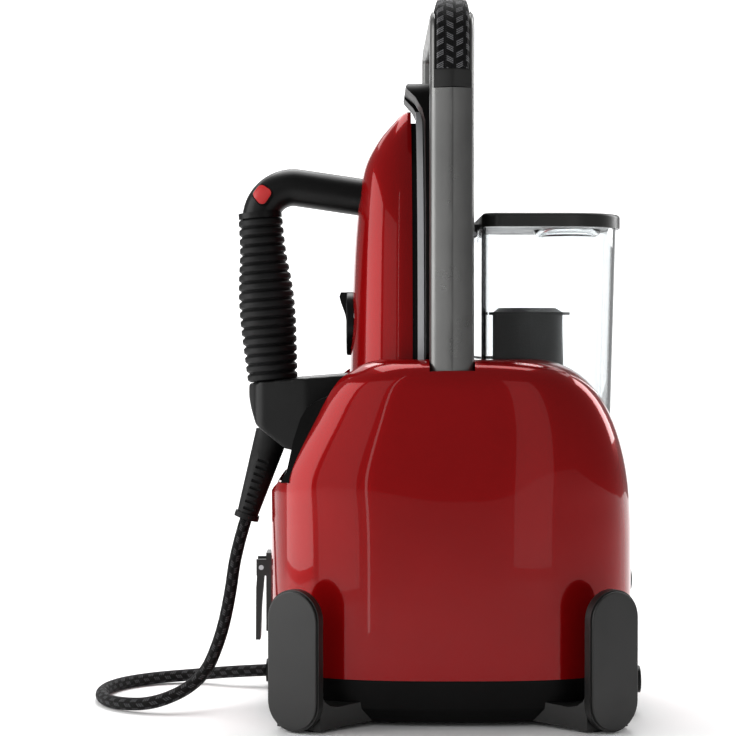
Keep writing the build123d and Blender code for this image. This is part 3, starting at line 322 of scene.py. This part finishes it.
def braid(name, columns, pitch, slope, dark, fleck):
    """Plaited cover of herringbone strands, with grey strands in short groups of three.

    The UV map runs across or round the piece in u, and along it, in metres, in v. Pitch is the
    distance from strand to strand, and slope is how many strands a strand climbs over one column.
    """
    s = Shader(name, Specular_IOR_Level=0.15)
    uv = s.node("ShaderNodeSeparateXYZ")
    s.link(s.coords("UV"), uv.inputs[0])
    across = s.math("MULTIPLY", uv.outputs[0], columns)
    column = s.math("FLOOR", across)
    local = s.math("FRACT", across)
    odd = s.math("MODULO", column, 2.0)
    lean = s.math("SUBTRACT", s.math("MULTIPLY", odd, 2.0), 1.0)
    slant = s.math("MULTIPLY", s.math("MULTIPLY", s.math("SUBTRACT", local, 0.5), lean), slope)
    along = s.math("ADD", s.math("DIVIDE", uv.outputs[1], pitch), slant)
    ridge = s.math("SINE", s.math("MULTIPLY", s.math("FRACT", along), pi))
    waist = s.math("SINE", s.math("MULTIPLY", local, pi))
    height = s.math("MULTIPLY", ridge, s.math("POWER", waist, 0.35))
    stagger = s.math("MULTIPLY", column, STRANDS_PER_CYCLE / 2)
    group = s.math("MODULO", s.math("ADD", s.math("FLOOR", along), stagger), STRANDS_PER_CYCLE)
    grey = s.math("LESS_THAN", group, GREY_STRANDS - 0.5)
    lit = s.math("MULTIPLY", grey, s.math("GREATER_THAN", ridge, 0.55))
    inside = s.math("MULTIPLY", s.math("GREATER_THAN", local, 0.16), s.math("LESS_THAN", local, 0.84))
    threads = s.noise(2600.0, 2.0)
    fuzz = s.ramp(threads, NOISE_LOW, NOISE_HIGH, 0.35, 1.0)
    tone = s.math("MULTIPLY", s.math("MULTIPLY", lit, inside), fuzz)
    s.colour(s.mix(tone, dark, fleck))
    s.rough(s.ramp(threads, NOISE_LOW, NOISE_HIGH, 0.5, 0.75))
    s.bump(height, 0.0006, 0.9)
    s.bump(threads, 0.0001, 0.5)
    return s.material


def felt():
    """Grey felt with loose fibres."""
    s = Shader("felt", Roughness=0.95, Sheen_Weight=0.4)
    fibres = s.noise(900.0, 5.0)
    s.colour(s.mix(fibres, (0.2, 0.19, 0.17), (0.42, 0.41, 0.38)))
    s.bump(fibres, 0.0006)
    return s.material


def board():
    """Green circuit board with its tracks."""
    s = Shader("board", Roughness=0.4)
    tracks = s.node("ShaderNodeTexBrick")
    tracks.inputs["Scale"].default_value = 90.0
    tracks.inputs["Mortar Size"].default_value = 0.06
    s.link(s.coords(), tracks.inputs["Vector"])
    s.colour(s.mix(tracks.outputs["Fac"], (0.02, 0.16, 0.06), (0.05, 0.3, 0.11)))
    s.bump(tracks.outputs["Fac"], 0.00008)
    return s.material


MATERIALS = {
    "red_gloss": red_lacquer(),
    "button_red": plastic("button_red", (0.42, 0.008, 0.008), (0.48, 0.012, 0.012), 0.3),
    "pan_black": plastic("pan_black", (0.0015, 0.0015, 0.0015), (0.003, 0.003, 0.003), 0.42,
                         Specular_IOR_Level=0.10),
    "satin_grey": plastic("satin_grey", (0.010, 0.010, 0.0095), (0.015, 0.015, 0.0145), 0.36, Metallic=0.15),
    "handle_satin": plastic("handle_satin", (0.15, 0.15, 0.147), (0.18, 0.18, 0.176), 0.32, depth=0.00001,
                            Metallic=0.85),
    "sleeve_weave": braid("sleeve_weave", 3.6, 0.0011, 2.6, (0.003, 0.003, 0.0033), (0.22, 0.22, 0.23)),
    "hose_braid": braid("hose_braid", 8.0, 0.0013, 1.4, (0.003, 0.003, 0.003), (0.085, 0.085, 0.09)),
    "soft_rubber": rubber("soft_rubber"),
    "handle_black": plastic("handle_black", (0.002, 0.002, 0.002), (0.004, 0.004, 0.004), 0.34,
                            Specular_IOR_Level=0.18),
    "tank_clear": clear_plastic("tank_clear"),
    "lid_grey": plastic("lid_grey", (0.012, 0.013, 0.012), (0.018, 0.019, 0.018), 0.34),
    "filter_black": plastic("filter_black", (0.012, 0.0125, 0.0125), (0.022, 0.023, 0.023), 0.46,
                            grain=700.0, depth=0.0001),
    "sole_steel": steel("sole_steel", (0.88, 0.89, 0.91), 0.34, metallic=0.6),
    "cast_alloy": cast_metal("cast_alloy", (0.6, 0.6, 0.6)),
    "felt": felt(),
    "brass_fittings": cast_metal("brass_fittings", (0.62, 0.45, 0.2)),
    "plain_steel": steel("plain_steel", (0.55, 0.55, 0.57), 0.3, stretch=(20.0, 20.0, 20.0)),
    "inner_plastic": plastic("inner_plastic", (0.6, 0.6, 0.56), (0.68, 0.68, 0.64), 0.45),
    "board_green": board(),
    "silicone_tube": rubber("silicone_tube", (0.6, 0.6, 0.57), (0.68, 0.68, 0.65), 0.5),
    "lamp_amber": clear_plastic("lamp_amber", (0.95, 0.55, 0.12)),
}


def dress(obj, slot_name, look=None):
    """Give a new piece the material of a slot in the record, or another look."""
    obj.data.materials.clear()
    obj.data.materials.append(MATERIALS[look or slot_name])
    return obj


for entry in frame["record"]["subparts"]:
    target = nodes[entry["node"]]
    target.data.materials.clear()
    target.data.materials.append(MATERIALS[entry["material_slot"]])


# ---------------------------------------------------------------- camera, floor and lights

CAMERA_PLACE = (1.100, -0.040, 0.2315)
CAMERA_TURN = (radians(88.62), 0.0, radians(90.0))
CAMERA_LENS = 87.4
FLOOR_HALF = 1.4
BACKDROP_X = -2.6
BACKDROP_HALF = 1.2
BACKDROP_LOW, BACKDROP_HIGH = -0.8, 1.5
WORLD_LIGHT = 0.26
WORLD_SEEN = 1.0

# name, place, target, width and height, power, seen by the camera
LIGHTS = [
    ("key", (0.11, -0.64, 0.36), (0.0, -0.05, 0.36), (0.50, 0.70), 3.6, False),
    ("side", (0.43, -0.345, 0.32), (0.08, -0.05, 0.32), (0.28, 0.62), 0.42, False),
    ("strip", (0.33, -0.125, 0.31), (0.08, -0.04, 0.31), (0.007, 0.60), 0.035, False),
    ("rear", (0.64, 0.275, 0.32), (0.08, 0.06, 0.32), (0.19, 0.62), 0.2, False),
    ("top", (-0.7, 0.0, 1.7), (-0.2, 0.0, 0.2), (1.4, 1.4), 30.0, True),
    ("rim", (-1.1, 1.7, 0.9), (0.0, 0.0, 0.2), (0.7, 1.2), 16.0, True),
    ("floor wash", (-1.1, 0.0, 1.3), (-1.1, 0.0, 0.0), (0.8, 2.2), 12.0, False),
]


def place_camera():
    """Camera a little above the middle of the object, seeing its right side."""
    data = bpy.data.cameras.new("camera")
    data.lens = CAMERA_LENS
    data.sensor_width = 36.0
    camera = bpy.data.objects.new("camera", data)
    camera.location = CAMERA_PLACE
    camera.rotation_euler = CAMERA_TURN
    bpy.context.scene.collection.objects.link(camera)
    bpy.context.scene.camera = camera


def staged_panel(name, corners, shader):
    """Flat panel of the studio, which is not part of the object."""
    mesh = bpy.data.meshes.new(name)
    mesh.from_pydata(corners, [], [(0, 1, 2, 3)])
    mesh.materials.append(shader.material)
    new_object(name, mesh)


def floor_and_backdrop():
    """Pale matt floor, and a white panel of light behind the object."""
    f = FLOOR_HALF
    paint = Shader("floor_paint", Roughness=0.9)
    paint.colour(paint.mix(paint.noise(3.0), (0.93, 0.93, 0.93), (0.95, 0.95, 0.95)))
    staged_panel("floor", [(-f, -f, 0), (f, -f, 0), (f, f, 0), (-f, f, 0)], paint)

    x, y = BACKDROP_X, BACKDROP_HALF
    glow = Shader("backdrop_light", Roughness=1.0)
    glow.bsdf.inputs["Emission Strength"].default_value = 1.0
    white = glow.mix(glow.noise(1.0), (0.98, 0.98, 0.98), (1.0, 1.0, 1.0))
    glow.link(white, glow.bsdf.inputs["Emission Color"])
    corners = [(x, -y, BACKDROP_LOW), (x, y, BACKDROP_LOW), (x, y, BACKDROP_HIGH), (x, -y, BACKDROP_HIGH)]
    staged_panel("backdrop", corners, glow)


def white_surround():
    """World that looks white and lights the object only dimly."""
    world = bpy.data.worlds.new("studio")
    world.use_nodes = True
    tree = world.node_tree
    background = tree.nodes["Background"]
    background.inputs["Color"].default_value = (1.0, 1.0, 1.0, 1.0)
    rays = tree.nodes.new("ShaderNodeLightPath")
    strength = tree.nodes.new("ShaderNodeMapRange")
    strength.inputs["To Min"].default_value = WORLD_LIGHT
    strength.inputs["To Max"].default_value = WORLD_SEEN
    tree.links.new(rays.outputs["Is Camera Ray"], strength.inputs["Value"])
    tree.links.new(strength.outputs["Result"], background.inputs["Strength"])
    bpy.context.scene.world = world


def softbox(name, place, target, size, power, seen):
    """Rectangular area light."""
    light = bpy.data.lights.new(name, "AREA")
    light.shape = "RECTANGLE"
    light.size, light.size_y = size
    light.energy = power
    lamp = bpy.data.objects.new(name, light)
    lamp.location = place
    aim = Vector(target) - Vector(place)
    lamp.rotation_euler = aim.to_track_quat("-Z", "Y").to_euler()
    lamp.visible_camera = seen
    bpy.context.scene.collection.objects.link(lamp)


place_camera()
floor_and_backdrop()
white_surround()
for light in LIGHTS:
    softbox(*light)
bpy.context.scene.view_settings.view_transform = "Standard"


# ---------------------------------------------------------------- steam hose

HOSE_D = 0.0076
HOSE_SIDES = 28
HOSE_ROUTE = [
    (0.0, -0.11523, 0.1122), (0.0, -0.12171, 0.09117), (0.007, -0.1245, 0.066), (0.019, -0.1295, 0.041),
    (0.033, -0.1395, 0.018), (0.043, -0.166, 0.006), (0.031, -0.1935, 0.004), (0.004, -0.2065, 0.004),
    (-0.0267, -0.201, 0.004), (-0.0475, -0.179, 0.004), (-0.0517, -0.1495, 0.0055), (-0.042, -0.125, 0.0093),
    (-0.040, -0.105, 0.0105),
]


def spline_points(points):
    """Points along the smooth line that the route's control points make."""
    curve = bpy.data.curves.new("route", "CURVE")
    curve.dimensions = "3D"
    curve.resolution_u = 24
    spline = curve.splines.new("NURBS")
    spline.points.add(len(points) - 1)
    for point, place in zip(spline.points, points):
        point.co = (*place, 1.0)
    spline.order_u = 3
    spline.use_endpoint_u = True
    holder = bpy.data.objects.new("route", curve)
    bpy.context.scene.collection.objects.link(holder)
    bpy.context.view_layer.update()
    mesh = bpy.data.meshes.new_from_object(holder.evaluated_get(bpy.context.evaluated_depsgraph_get()))
    line = [v.co.copy() for v in mesh.vertices]
    bpy.data.objects.remove(holder)
    bpy.data.meshes.remove(mesh)
    return line


def tube_rows(line, radius, sides):
    """Rings of a round tube along a line, without twist."""
    rows = []
    side = None
    for i, here in enumerate(line):
        ahead = line[min(i + 1, len(line) - 1)]
        behind = line[max(i - 1, 0)]
        along = (ahead - behind).normalized()
        if side is None:
            side = along.orthogonal().normalized()
        side = (side - along * side.dot(along)).normalized()
        other = along.cross(side)
        rows.append([
            here + (side * cos(2 * pi * k / sides) + other * sin(2 * pi * k / sides)) * radius
            for k in range(sides)
        ])
    return rows


def lengths(line):
    """Distance along a line at each of its points."""
    out = [0.0]
    for a, b in zip(line, line[1:]):
        out.append(out[-1] + (b - a).length)
    return out


hose_line = spline_points(HOSE_ROUTE)
hose_run = lengths(hose_line)
hose_mesh = grid_mesh("hose", tube_rows(hose_line, HOSE_D / 2, HOSE_SIDES),
                      uv=lambda r, c: (c / HOSE_SIDES, hose_run[r]))
hose = dress(new_object("hose", hose_mesh), "hose_braid")
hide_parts("steam_hose")
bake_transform(hose)


# ---------------------------------------------------------------- red body

def superellipse(half_x, half_y, power_x, power_y, turn):
    """Point of a superellipse at a turn in radians."""
    c, s = cos(turn), sin(turn)
    x = half_x * abs(c) ** (2 / power_x) * (1 if c >= 0 else -1)
    y = half_y * abs(s) ** (2 / power_y) * (1 if s >= 0 else -1)
    return x, y


def even_ring(points, count):
    """The same closed outline with its points evenly spaced."""
    total = [0.0]
    looped = points + points[:1]
    for a, b in zip(looped, looped[1:]):
        total.append(total[-1] + ((b[0] - a[0]) ** 2 + (b[1] - a[1]) ** 2) ** 0.5)
    out = []
    k = 0
    for i in range(count):
        at = total[-1] * i / count
        while total[k + 1] < at:
            k += 1
        t = (at - total[k]) / (total[k + 1] - total[k])
        out.append(tuple(p + (q - p) * t for p, q in zip(looped[k], looped[k + 1])))
    return out


# height, front face, and power of the plan outline across the body
BODY_FRONT_TABLE = [
    (0.028, -0.0990, 3.40), (0.100, -0.0990, 3.40), (0.125, -0.0988, 3.55), (0.138, -0.0978, 3.85),
    (0.147, -0.0948, 4.05), (0.160, -0.0878, 4.30), (0.175, -0.0783, 4.70), (0.190, -0.0692, 5.00),
    (0.2005, -0.0613, 5.00), (0.2054, -0.0547, 5.00), (0.2095, -0.0485, 5.00), (0.2115, -0.0430, 5.00),
]
# heights of the skin's rows, closer together towards the roof
BODY_LEVELS = (
    [0.028 + 0.0052 * i for i in range(31)] + [0.188 + 0.002 * i for i in range(8)]
    + [0.2035, 0.2050, 0.2064, 0.2077, 0.2088, 0.2097, 0.2104, 0.2109, 0.2113, 0.2115]
)
COLUMNS = 200
OUTLINE_POINTS = 720
PLAN_POWER = 2.8
BODY_HALF = 0.084
BODY_WALL = 0.003
BACK_Y = 0.058
BACK_BULGE = 0.061
BACK_START, BACK_RISE, BACK_POWER = 0.100, 0.1117, 2.25
SHOULDER_START, SHOULDER_RISE, SHOULDER_IN = 0.1945, 0.0172, 0.017
ROOF_START, ROOF_RISE = 0.185, 0.0265
ROOF_RINGS = (0.93, 0.8, 0.6, 0.4, 0.2)
OPEN_BELOW = 0.001


def body_ring(z, inset, level):
    """Plan outline of the base at one level, drawn at another level for the inside."""
    front, power = between(BODY_FRONT_TABLE, z)
    rise = max(z - BACK_START, 0.0) / BACK_RISE
    back = BACK_Y + BACK_BULGE * (1.0 - rise ** BACK_POWER) ** (1 / BACK_POWER)
    rise = max(z - SHOULDER_START, 0.0) / SHOULDER_RISE
    half = BODY_HALF - SHOULDER_IN * (1.0 - (1.0 - rise ** 2) ** 0.5)
    deep = (back - front) / 2
    turns = [2 * pi * k / OUTLINE_POINTS for k in range(OUTLINE_POINTS)]
    outline = [superellipse(half - inset, deep - inset, power, PLAN_POWER, turn) for turn in turns]
    middle = (front + back) / 2
    return [Vector((x, y + middle, level)) for x, y in even_ring(outline, COLUMNS)]


def body_volume(name, inset):
    """Closed volume of the base, or of the room inside it, which reaches out below."""
    rows = []
    for z in BODY_LEVELS:
        lower = inset * min(max((z - ROOF_START) / ROOF_RISE, 0.0), 1.0)
        level = z - lower - (OPEN_BELOW if inset and z == BODY_LEVELS[0] else 0.0)
        rows.append(body_ring(z, inset, level))
    centre = sum(rows[-1], Vector()) / COLUMNS
    for share in ROOF_RINGS:
        rows.append([centre + (p - centre) * share for p in rows[len(BODY_LEVELS) - 1]])
    return new_object(name, grid_mesh(name, rows))


TROUGH_HALF = 0.060
TROUGH_OUTLINE = [
    (-0.125, 0.129), (-0.100, 0.129), (-0.0971, 0.1335), (-0.0926, 0.1392), (0.001, 0.1392), (0.001, 0.240),
    (-0.125, 0.240),
]
# half width, front, back, front corner, back corner, height
WELL_FLOOR = (0.0506, 0.0242, 0.1104, 0.011, 0.036, 0.124)
WELL_MOUTH = (0.0522, 0.0242, 0.1140, 0.011, 0.037, 0.244)
CORNER_STEPS = 12
# low and high x, y and z
LEG_SLOT = (0.0658, 0.0802, -0.0048, 0.0213, 0.030, 0.230)
PANEL_OPENING = (-0.030, 0.030, 0.111, 0.124, 0.060, 0.092)


def rounded_plan(half, front, back, corner, back_corner, z):
    """Plan of the tank's well at one level."""
    ring = []
    for cx, cy, r, start in (
        (half - corner, front + corner, corner, 270),
        (half - back_corner, back - back_corner, back_corner, 0),
        (-half + back_corner, back - back_corner, back_corner, 90),
        (-half + corner, front + corner, corner, 180),
    ):
        for step in range(CORNER_STEPS + 1):
            turn = radians(start + 90.0 / CORNER_STEPS * step)
            ring.append(Vector((cx + r * cos(turn), cy + r * sin(turn), z)))
    return ring


def box_tool(x0, x1, y0, y1, z0, z1):
    """Box that cuts an opening."""
    return prism("tool", [(x0, y0), (x1, y0), (x1, y1), (x0, y1)], 2, z0, z1)


def red_body():
    """Smooth red shell with its trough, tank well, leg slots and rear opening."""
    shell = body_volume("red_body", 0.0)
    cut(shell, body_volume("inner", BODY_WALL))
    cut(shell, prism("tool", TROUGH_OUTLINE, 0, -TROUGH_HALF, TROUGH_HALF))
    well = grid_mesh("well", [rounded_plan(*WELL_FLOOR), rounded_plan(*WELL_MOUTH)])
    cut(shell, new_object("well", well))
    x0, x1, *rest = LEG_SLOT
    cut(shell, box_tool(-x1, -x0, *rest))
    cut(shell, box_tool(x0, x1, *rest))
    cut(shell, box_tool(*PANEL_OPENING))
    shade(shell, 38.0)
    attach(shell, "base")
    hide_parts("body_shell")
    dress(shell, "red_gloss")


red_body()


# ---------------------------------------------------------------- red shell of the iron

IRON_BACK = -0.0138
# height, half width, and depth in front of the flat back
IRON_TABLE = [
    (0.1510, 0.0460, 0.0374), (0.1700, 0.0498, 0.0376), (0.2150, 0.0498, 0.0370), (0.2510, 0.0466, 0.0358),
    (0.2820, 0.0412, 0.0342), (0.3080, 0.0337, 0.0316), (0.3285, 0.0252, 0.0278), (0.3440, 0.0167, 0.0198),
    (0.3535, 0.0097, 0.0120), (0.3590, 0.0052, 0.0070), (0.3618, 0.0020, 0.0030),
]
IRON_HEEL, IRON_TIP = 0.151, 0.3618
IRON_WALL, IRON_CAVITY_TIP = 0.0026, 0.350
HEEL_LIFT = 0.004
HEEL_EDGE = [(0.0030, 0.1492), (0.0012, 0.1496), (0.0003, 0.1502)]
IRON_ROW_STEP, IRON_ROWS = 0.0035, 58
TIP_ROWS = (0.0025, 0.001, 0.0)
TIP_GAP = 0.003
IRON_POWERS = (2.5, 2.3)
DOME_STEPS, FLAT_STEPS = 60, 12
THINNEST = 0.0008
DIAL_Z, DIAL_RADIUS, DIAL_SIDES = 0.2324, 0.020, 96
DIAL_FLOOR, DIAL_OUTSIDE = -0.0484, -0.080


def iron_ring(z, inset, level):
    """Domed section of the iron at one height, flat at the back."""
    half, deep = between(IRON_TABLE, z)
    half, deep = max(half - inset, THINNEST), max(deep - inset, THINNEST)
    ring = []
    for step in range(DOME_STEPS + 1):
        x, y = superellipse(half, deep, *IRON_POWERS, pi * step / DOME_STEPS)
        ring.append(Vector((x, IRON_BACK - y, level)))
    for step in range(1, FLAT_STEPS):
        ring.append(Vector((-half + 2 * half * step / FLAT_STEPS, IRON_BACK, level)))
    return ring


def iron_volume(name, inset, top):
    """Closed volume of the iron's shell, or of the room inside it."""
    levels = [IRON_HEEL + IRON_ROW_STEP * i for i in range(IRON_ROWS)]
    levels = [z for z in levels if z < top - TIP_GAP] + [top - below for below in TIP_ROWS]
    rows = []
    if not inset:
        rows = [iron_ring(IRON_HEEL, inner, z) for inner, z in HEEL_EDGE]
    for z in levels:
        lift = HEEL_LIFT if inset and z == IRON_HEEL else 0.0
        rows.append(iron_ring(z, inset, z + lift))
    return new_object(name, grid_mesh(name, rows))


def iron_body():
    """Glossy shell of the iron with the dial's pocket."""
    shell = iron_volume("iron_red", 0.0, IRON_TIP)
    cut(shell, iron_volume("inner", IRON_WALL, IRON_CAVITY_TIP))
    turns = [2 * pi * k / DIAL_SIDES for k in range(DIAL_SIDES)]
    pocket = [(DIAL_RADIUS * cos(turn), DIAL_Z + DIAL_RADIUS * sin(turn)) for turn in turns]
    cut(shell, prism("tool", pocket, 1, DIAL_OUTSIDE, DIAL_FLOOR))
    shade(shell, 40.0)
    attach(shell, "iron")
    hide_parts("iron_shell")
    dress(shell, "red_gloss")


iron_body()


# ---------------------------------------------------------------- carry handle and its woven sleeve

ARCH_Y = 0.00825
ARCH_HALF, ARCH_TOP, ARCH_CORNER = 0.080, 0.416, 0.016
ARCH_HEIGHTS = [0.040, 0.150, 0.260]
CORNER_TURNS = 24
COLLAR_Z = 0.3668
COLLAR_LOW, COLLAR_HIGH = 0.3672, 0.3790
COLLAR_BOW = 0.0022
COLLAR_WIDE = 0.0107
COLLAR_SET_BACK, COLLAR_FALL = 0.0004, 0.0025
COLLAR_ROUNDING = 0.0003
COLLAR_COLUMNS = 20
COLLAR_DEPTH = 0.0049
SLEEVE_Z = 0.3775
SLEEVE_HALF, SLEEVE_TOP, SLEEVE_CORNER = 0.0806, 0.4195, 0.0195
SLEEVE_WIDE = 0.0100
SLEEVE_STEP = 0.002
SLEEVE_COLUMNS = 24
SLEEVE_CROWN, SLEEVE_SINK = 0.0009, 0.0007
SLEEVE_EDGE, SLEEVE_TUCK = 0.86, 0.0052


def arch_line(outer, top, radius, heights):
    """Points and outward directions along the outside of the handle, from one end to the other."""
    straight = top - radius
    line = [(Vector((outer, 0, z)), Vector((1, 0, 0))) for z in [*heights, straight]]
    for step in range(1, CORNER_TURNS + 1):
        turn = radians(90.0 * step / CORNER_TURNS)
        out = Vector((cos(turn), 0, sin(turn)))
        line.append((Vector((outer - radius, 0, straight)) + out * radius, out))
    half = [(Vector((-p.x, 0, p.z)), Vector((-n.x, 0, n.z))) for p, n in reversed(line)]
    return line + half


# across, and depth below the outer ridge, from the ridge round to the inside
HANDLE_ROOF = [(0.0, 0.0), (0.0007, 0.00012), (0.0035, 0.0008), (0.0068, 0.0018), (0.0090, 0.0026)]
HANDLE_CHANNEL = [(0.0, 0.0050), (0.0030, 0.0050), (0.0055, 0.0050), (0.01098, 0.0050), (0.0110, 0.0038)]
HANDLE_FLANK = [
    (0.0107, 0.0036), (0.0119, 0.0049), (0.0126, 0.0066), (0.01285, 0.0090), (0.01285, 0.0118),
    (0.0121, 0.0134), (0.0107, 0.0140),
]


def handle_section(outside):
    """Closed section of the handle: its outside and both flanks."""
    right = outside + HANDLE_FLANK
    return right + [(-a, d) for a, d in reversed(right)][:-1]


def carry_handle():
    """Arch of the handle: bowed outside, with a channel for the sleeve over its top."""
    rows = []
    plain, channel = handle_section(HANDLE_ROOF), handle_section(HANDLE_CHANNEL)
    for here, out in arch_line(ARCH_HALF, ARCH_TOP, ARCH_CORNER, [*ARCH_HEIGHTS, COLLAR_Z]):
        if abs(here.z - COLLAR_Z) < 0.0001:
            sections = (plain, channel) if here.x > 0 else (channel, plain)
        else:
            sections = (channel,) if here.z > COLLAR_Z else (plain,)
        for section in sections:
            rows.append([here + out * -d + Vector((0, ARCH_Y + a, 0)) for a, d in section])
    handle = new_object("carry_handle_arch", grid_mesh("carry_handle_arch", rows))
    shade(handle, 50.0)
    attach(handle, "base")
    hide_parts("carry_handle")
    dress(handle, "satin_grey", "handle_satin")


def collar_rows(side):
    """Sections of one collar, from its front edge to its back edge."""
    rows = []
    back = ARCH_HALF - COLLAR_DEPTH
    e = COLLAR_ROUNDING
    for k in range(COLLAR_COLUMNS + 1):
        a = -1.0 + 2.0 * k / COLLAR_COLUMNS
        high = COLLAR_HIGH - COLLAR_BOW * a * a
        face = ARCH_HALF - COLLAR_SET_BACK - COLLAR_FALL * abs(a) ** 1.3
        y = ARCH_Y + a * COLLAR_WIDE
        section = [(back, COLLAR_LOW), (face - e, COLLAR_LOW), (face, COLLAR_LOW + e), (face, high - e),
                   (face - e, high), (back, high)]
        rows.append([Vector((side * x, y, z)) for x, z in section])
    return rows


def handle_collars():
    """Bowed collar under each end of the sleeve."""
    bm = bmesh.new()
    for side in (1, -1):
        bm.from_mesh(grid_mesh("collar", collar_rows(side)))
    mesh = bpy.data.meshes.new("sleeve_collars")
    bm.to_mesh(mesh)
    bm.free()
    collars = new_object("sleeve_collars", mesh)
    shade(collars, 35.0)
    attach(collars, "base")
    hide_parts("handle_collars")
    dress(collars, "satin_grey")


def woven_sleeve():
    """Crowned woven sleeve over the top of the handle."""
    line = arch_line(SLEEVE_HALF, SLEEVE_TOP, SLEEVE_CORNER, [SLEEVE_Z])
    fine = []
    for (p, n), (next_p, next_n) in zip(line, line[1:]):
        parts = max(1, round((next_p - p).length / SLEEVE_STEP))
        fine += [(p.lerp(next_p, k / parts), n.lerp(next_n, k / parts).normalized()) for k in range(parts)]
    fine.append(line[-1])
    run = lengths([p for p, n in fine])
    rows = []
    for p, n in fine:
        row = []
        for k in range(SLEEVE_COLUMNS + 1):
            a = -1.0 + 2.0 * k / SLEEVE_COLUMNS
            tuck = SLEEVE_TUCK * max(abs(a) - SLEEVE_EDGE, 0.0) / (1.0 - SLEEVE_EDGE)
            crown = SLEEVE_CROWN * (1.0 - abs(a) ** 2.2) - tuck
            row.append(p + n * (crown - SLEEVE_SINK) + Vector((0, ARCH_Y + a * SLEEVE_WIDE, 0)))
        rows.append(row)
    mesh = grid_mesh("woven_sleeve", rows, closed_across=False, cap_ends=False,
                     uv=lambda r, c: (c / SLEEVE_COLUMNS, run[r]))
    sleeve = new_object("woven_sleeve", mesh)
    shade(sleeve, 60.0)
    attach(sleeve, "base")
    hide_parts("grip_sleeve")
    dress(sleeve, "sleeve_weave")


carry_handle()
handle_collars()
woven_sleeve()


# ---------------------------------------------------------------- the iron's grip and heel

GRIP_TOP = Vector((0.0, -0.1061, 0.297))
GRIP_BOTTOM = Vector((0.0, -0.0986, 0.197))
# share of the way down the grip, and radius
GRIP_TABLE = [(0.0, 0.0135), (0.2, 0.0142), (0.42, 0.0166), (0.6, 0.0172), (0.8, 0.0164), (1.0, 0.0153)]
GRIP_SIDES = 56
RIBS = 18
ROWS_PER_RIB = 14
RIB_DEPTH = 0.0016
GRIP_END_STEP = 0.0014
HEEL_VOXEL = 0.0009
HEEL_ROUNDS = 14


def ribbed_grip():
    """Rubber grip, swelling towards its lower half, with rounded ribs."""
    axis = GRIP_BOTTOM - GRIP_TOP
    side = Vector((1, 0, 0))
    other = axis.normalized().cross(side)
    turns = [2 * pi * k / GRIP_SIDES for k in range(GRIP_SIDES)]
    rows = []
    steps = RIBS * ROWS_PER_RIB
    for i in range(steps + 1):
        along = i / steps
        radius = between(GRIP_TABLE, along)[0] - RIB_DEPTH * abs(cos(pi * along * RIBS)) ** 7
        if i in (0, steps):
            radius -= GRIP_END_STEP
        here = GRIP_TOP + axis * along
        rows.append([here + (side * cos(turn) + other * sin(turn)) * radius for turn in turns])
    grip = new_object("grip_ribs", grid_mesh("grip_ribs", rows))
    shade(grip, 60.0)
    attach(grip, "iron")
    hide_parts("ribbed_grip")
    dress(grip, "soft_rubber")


def heel_piece():
    """Heel cover of the iron with its edges rounded off, in the black of the handle."""
    mesh = nodes["heel_cover"].data.copy()
    bm = bmesh.new()
    bm.from_mesh(mesh)
    bmesh.ops.remove_doubles(bm, verts=bm.verts, dist=0.00001)
    bm.to_mesh(mesh)
    bm.free()
    heel = new_object("heel_cover_smooth", mesh)
    remesh = heel.modifiers.new("remesh", "REMESH")
    remesh.mode = "VOXEL"
    remesh.voxel_size = HEEL_VOXEL
    smooth = heel.modifiers.new("smooth", "SMOOTH")
    smooth.factor = 0.6
    smooth.iterations = HEEL_ROUNDS
    apply_modifiers(heel)
    shade(heel, 70.0)
    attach(heel, "iron")
    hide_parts("heel_cover")
    dress(heel, "satin_grey", "handle_black")


ribbed_grip()
heel_piece()
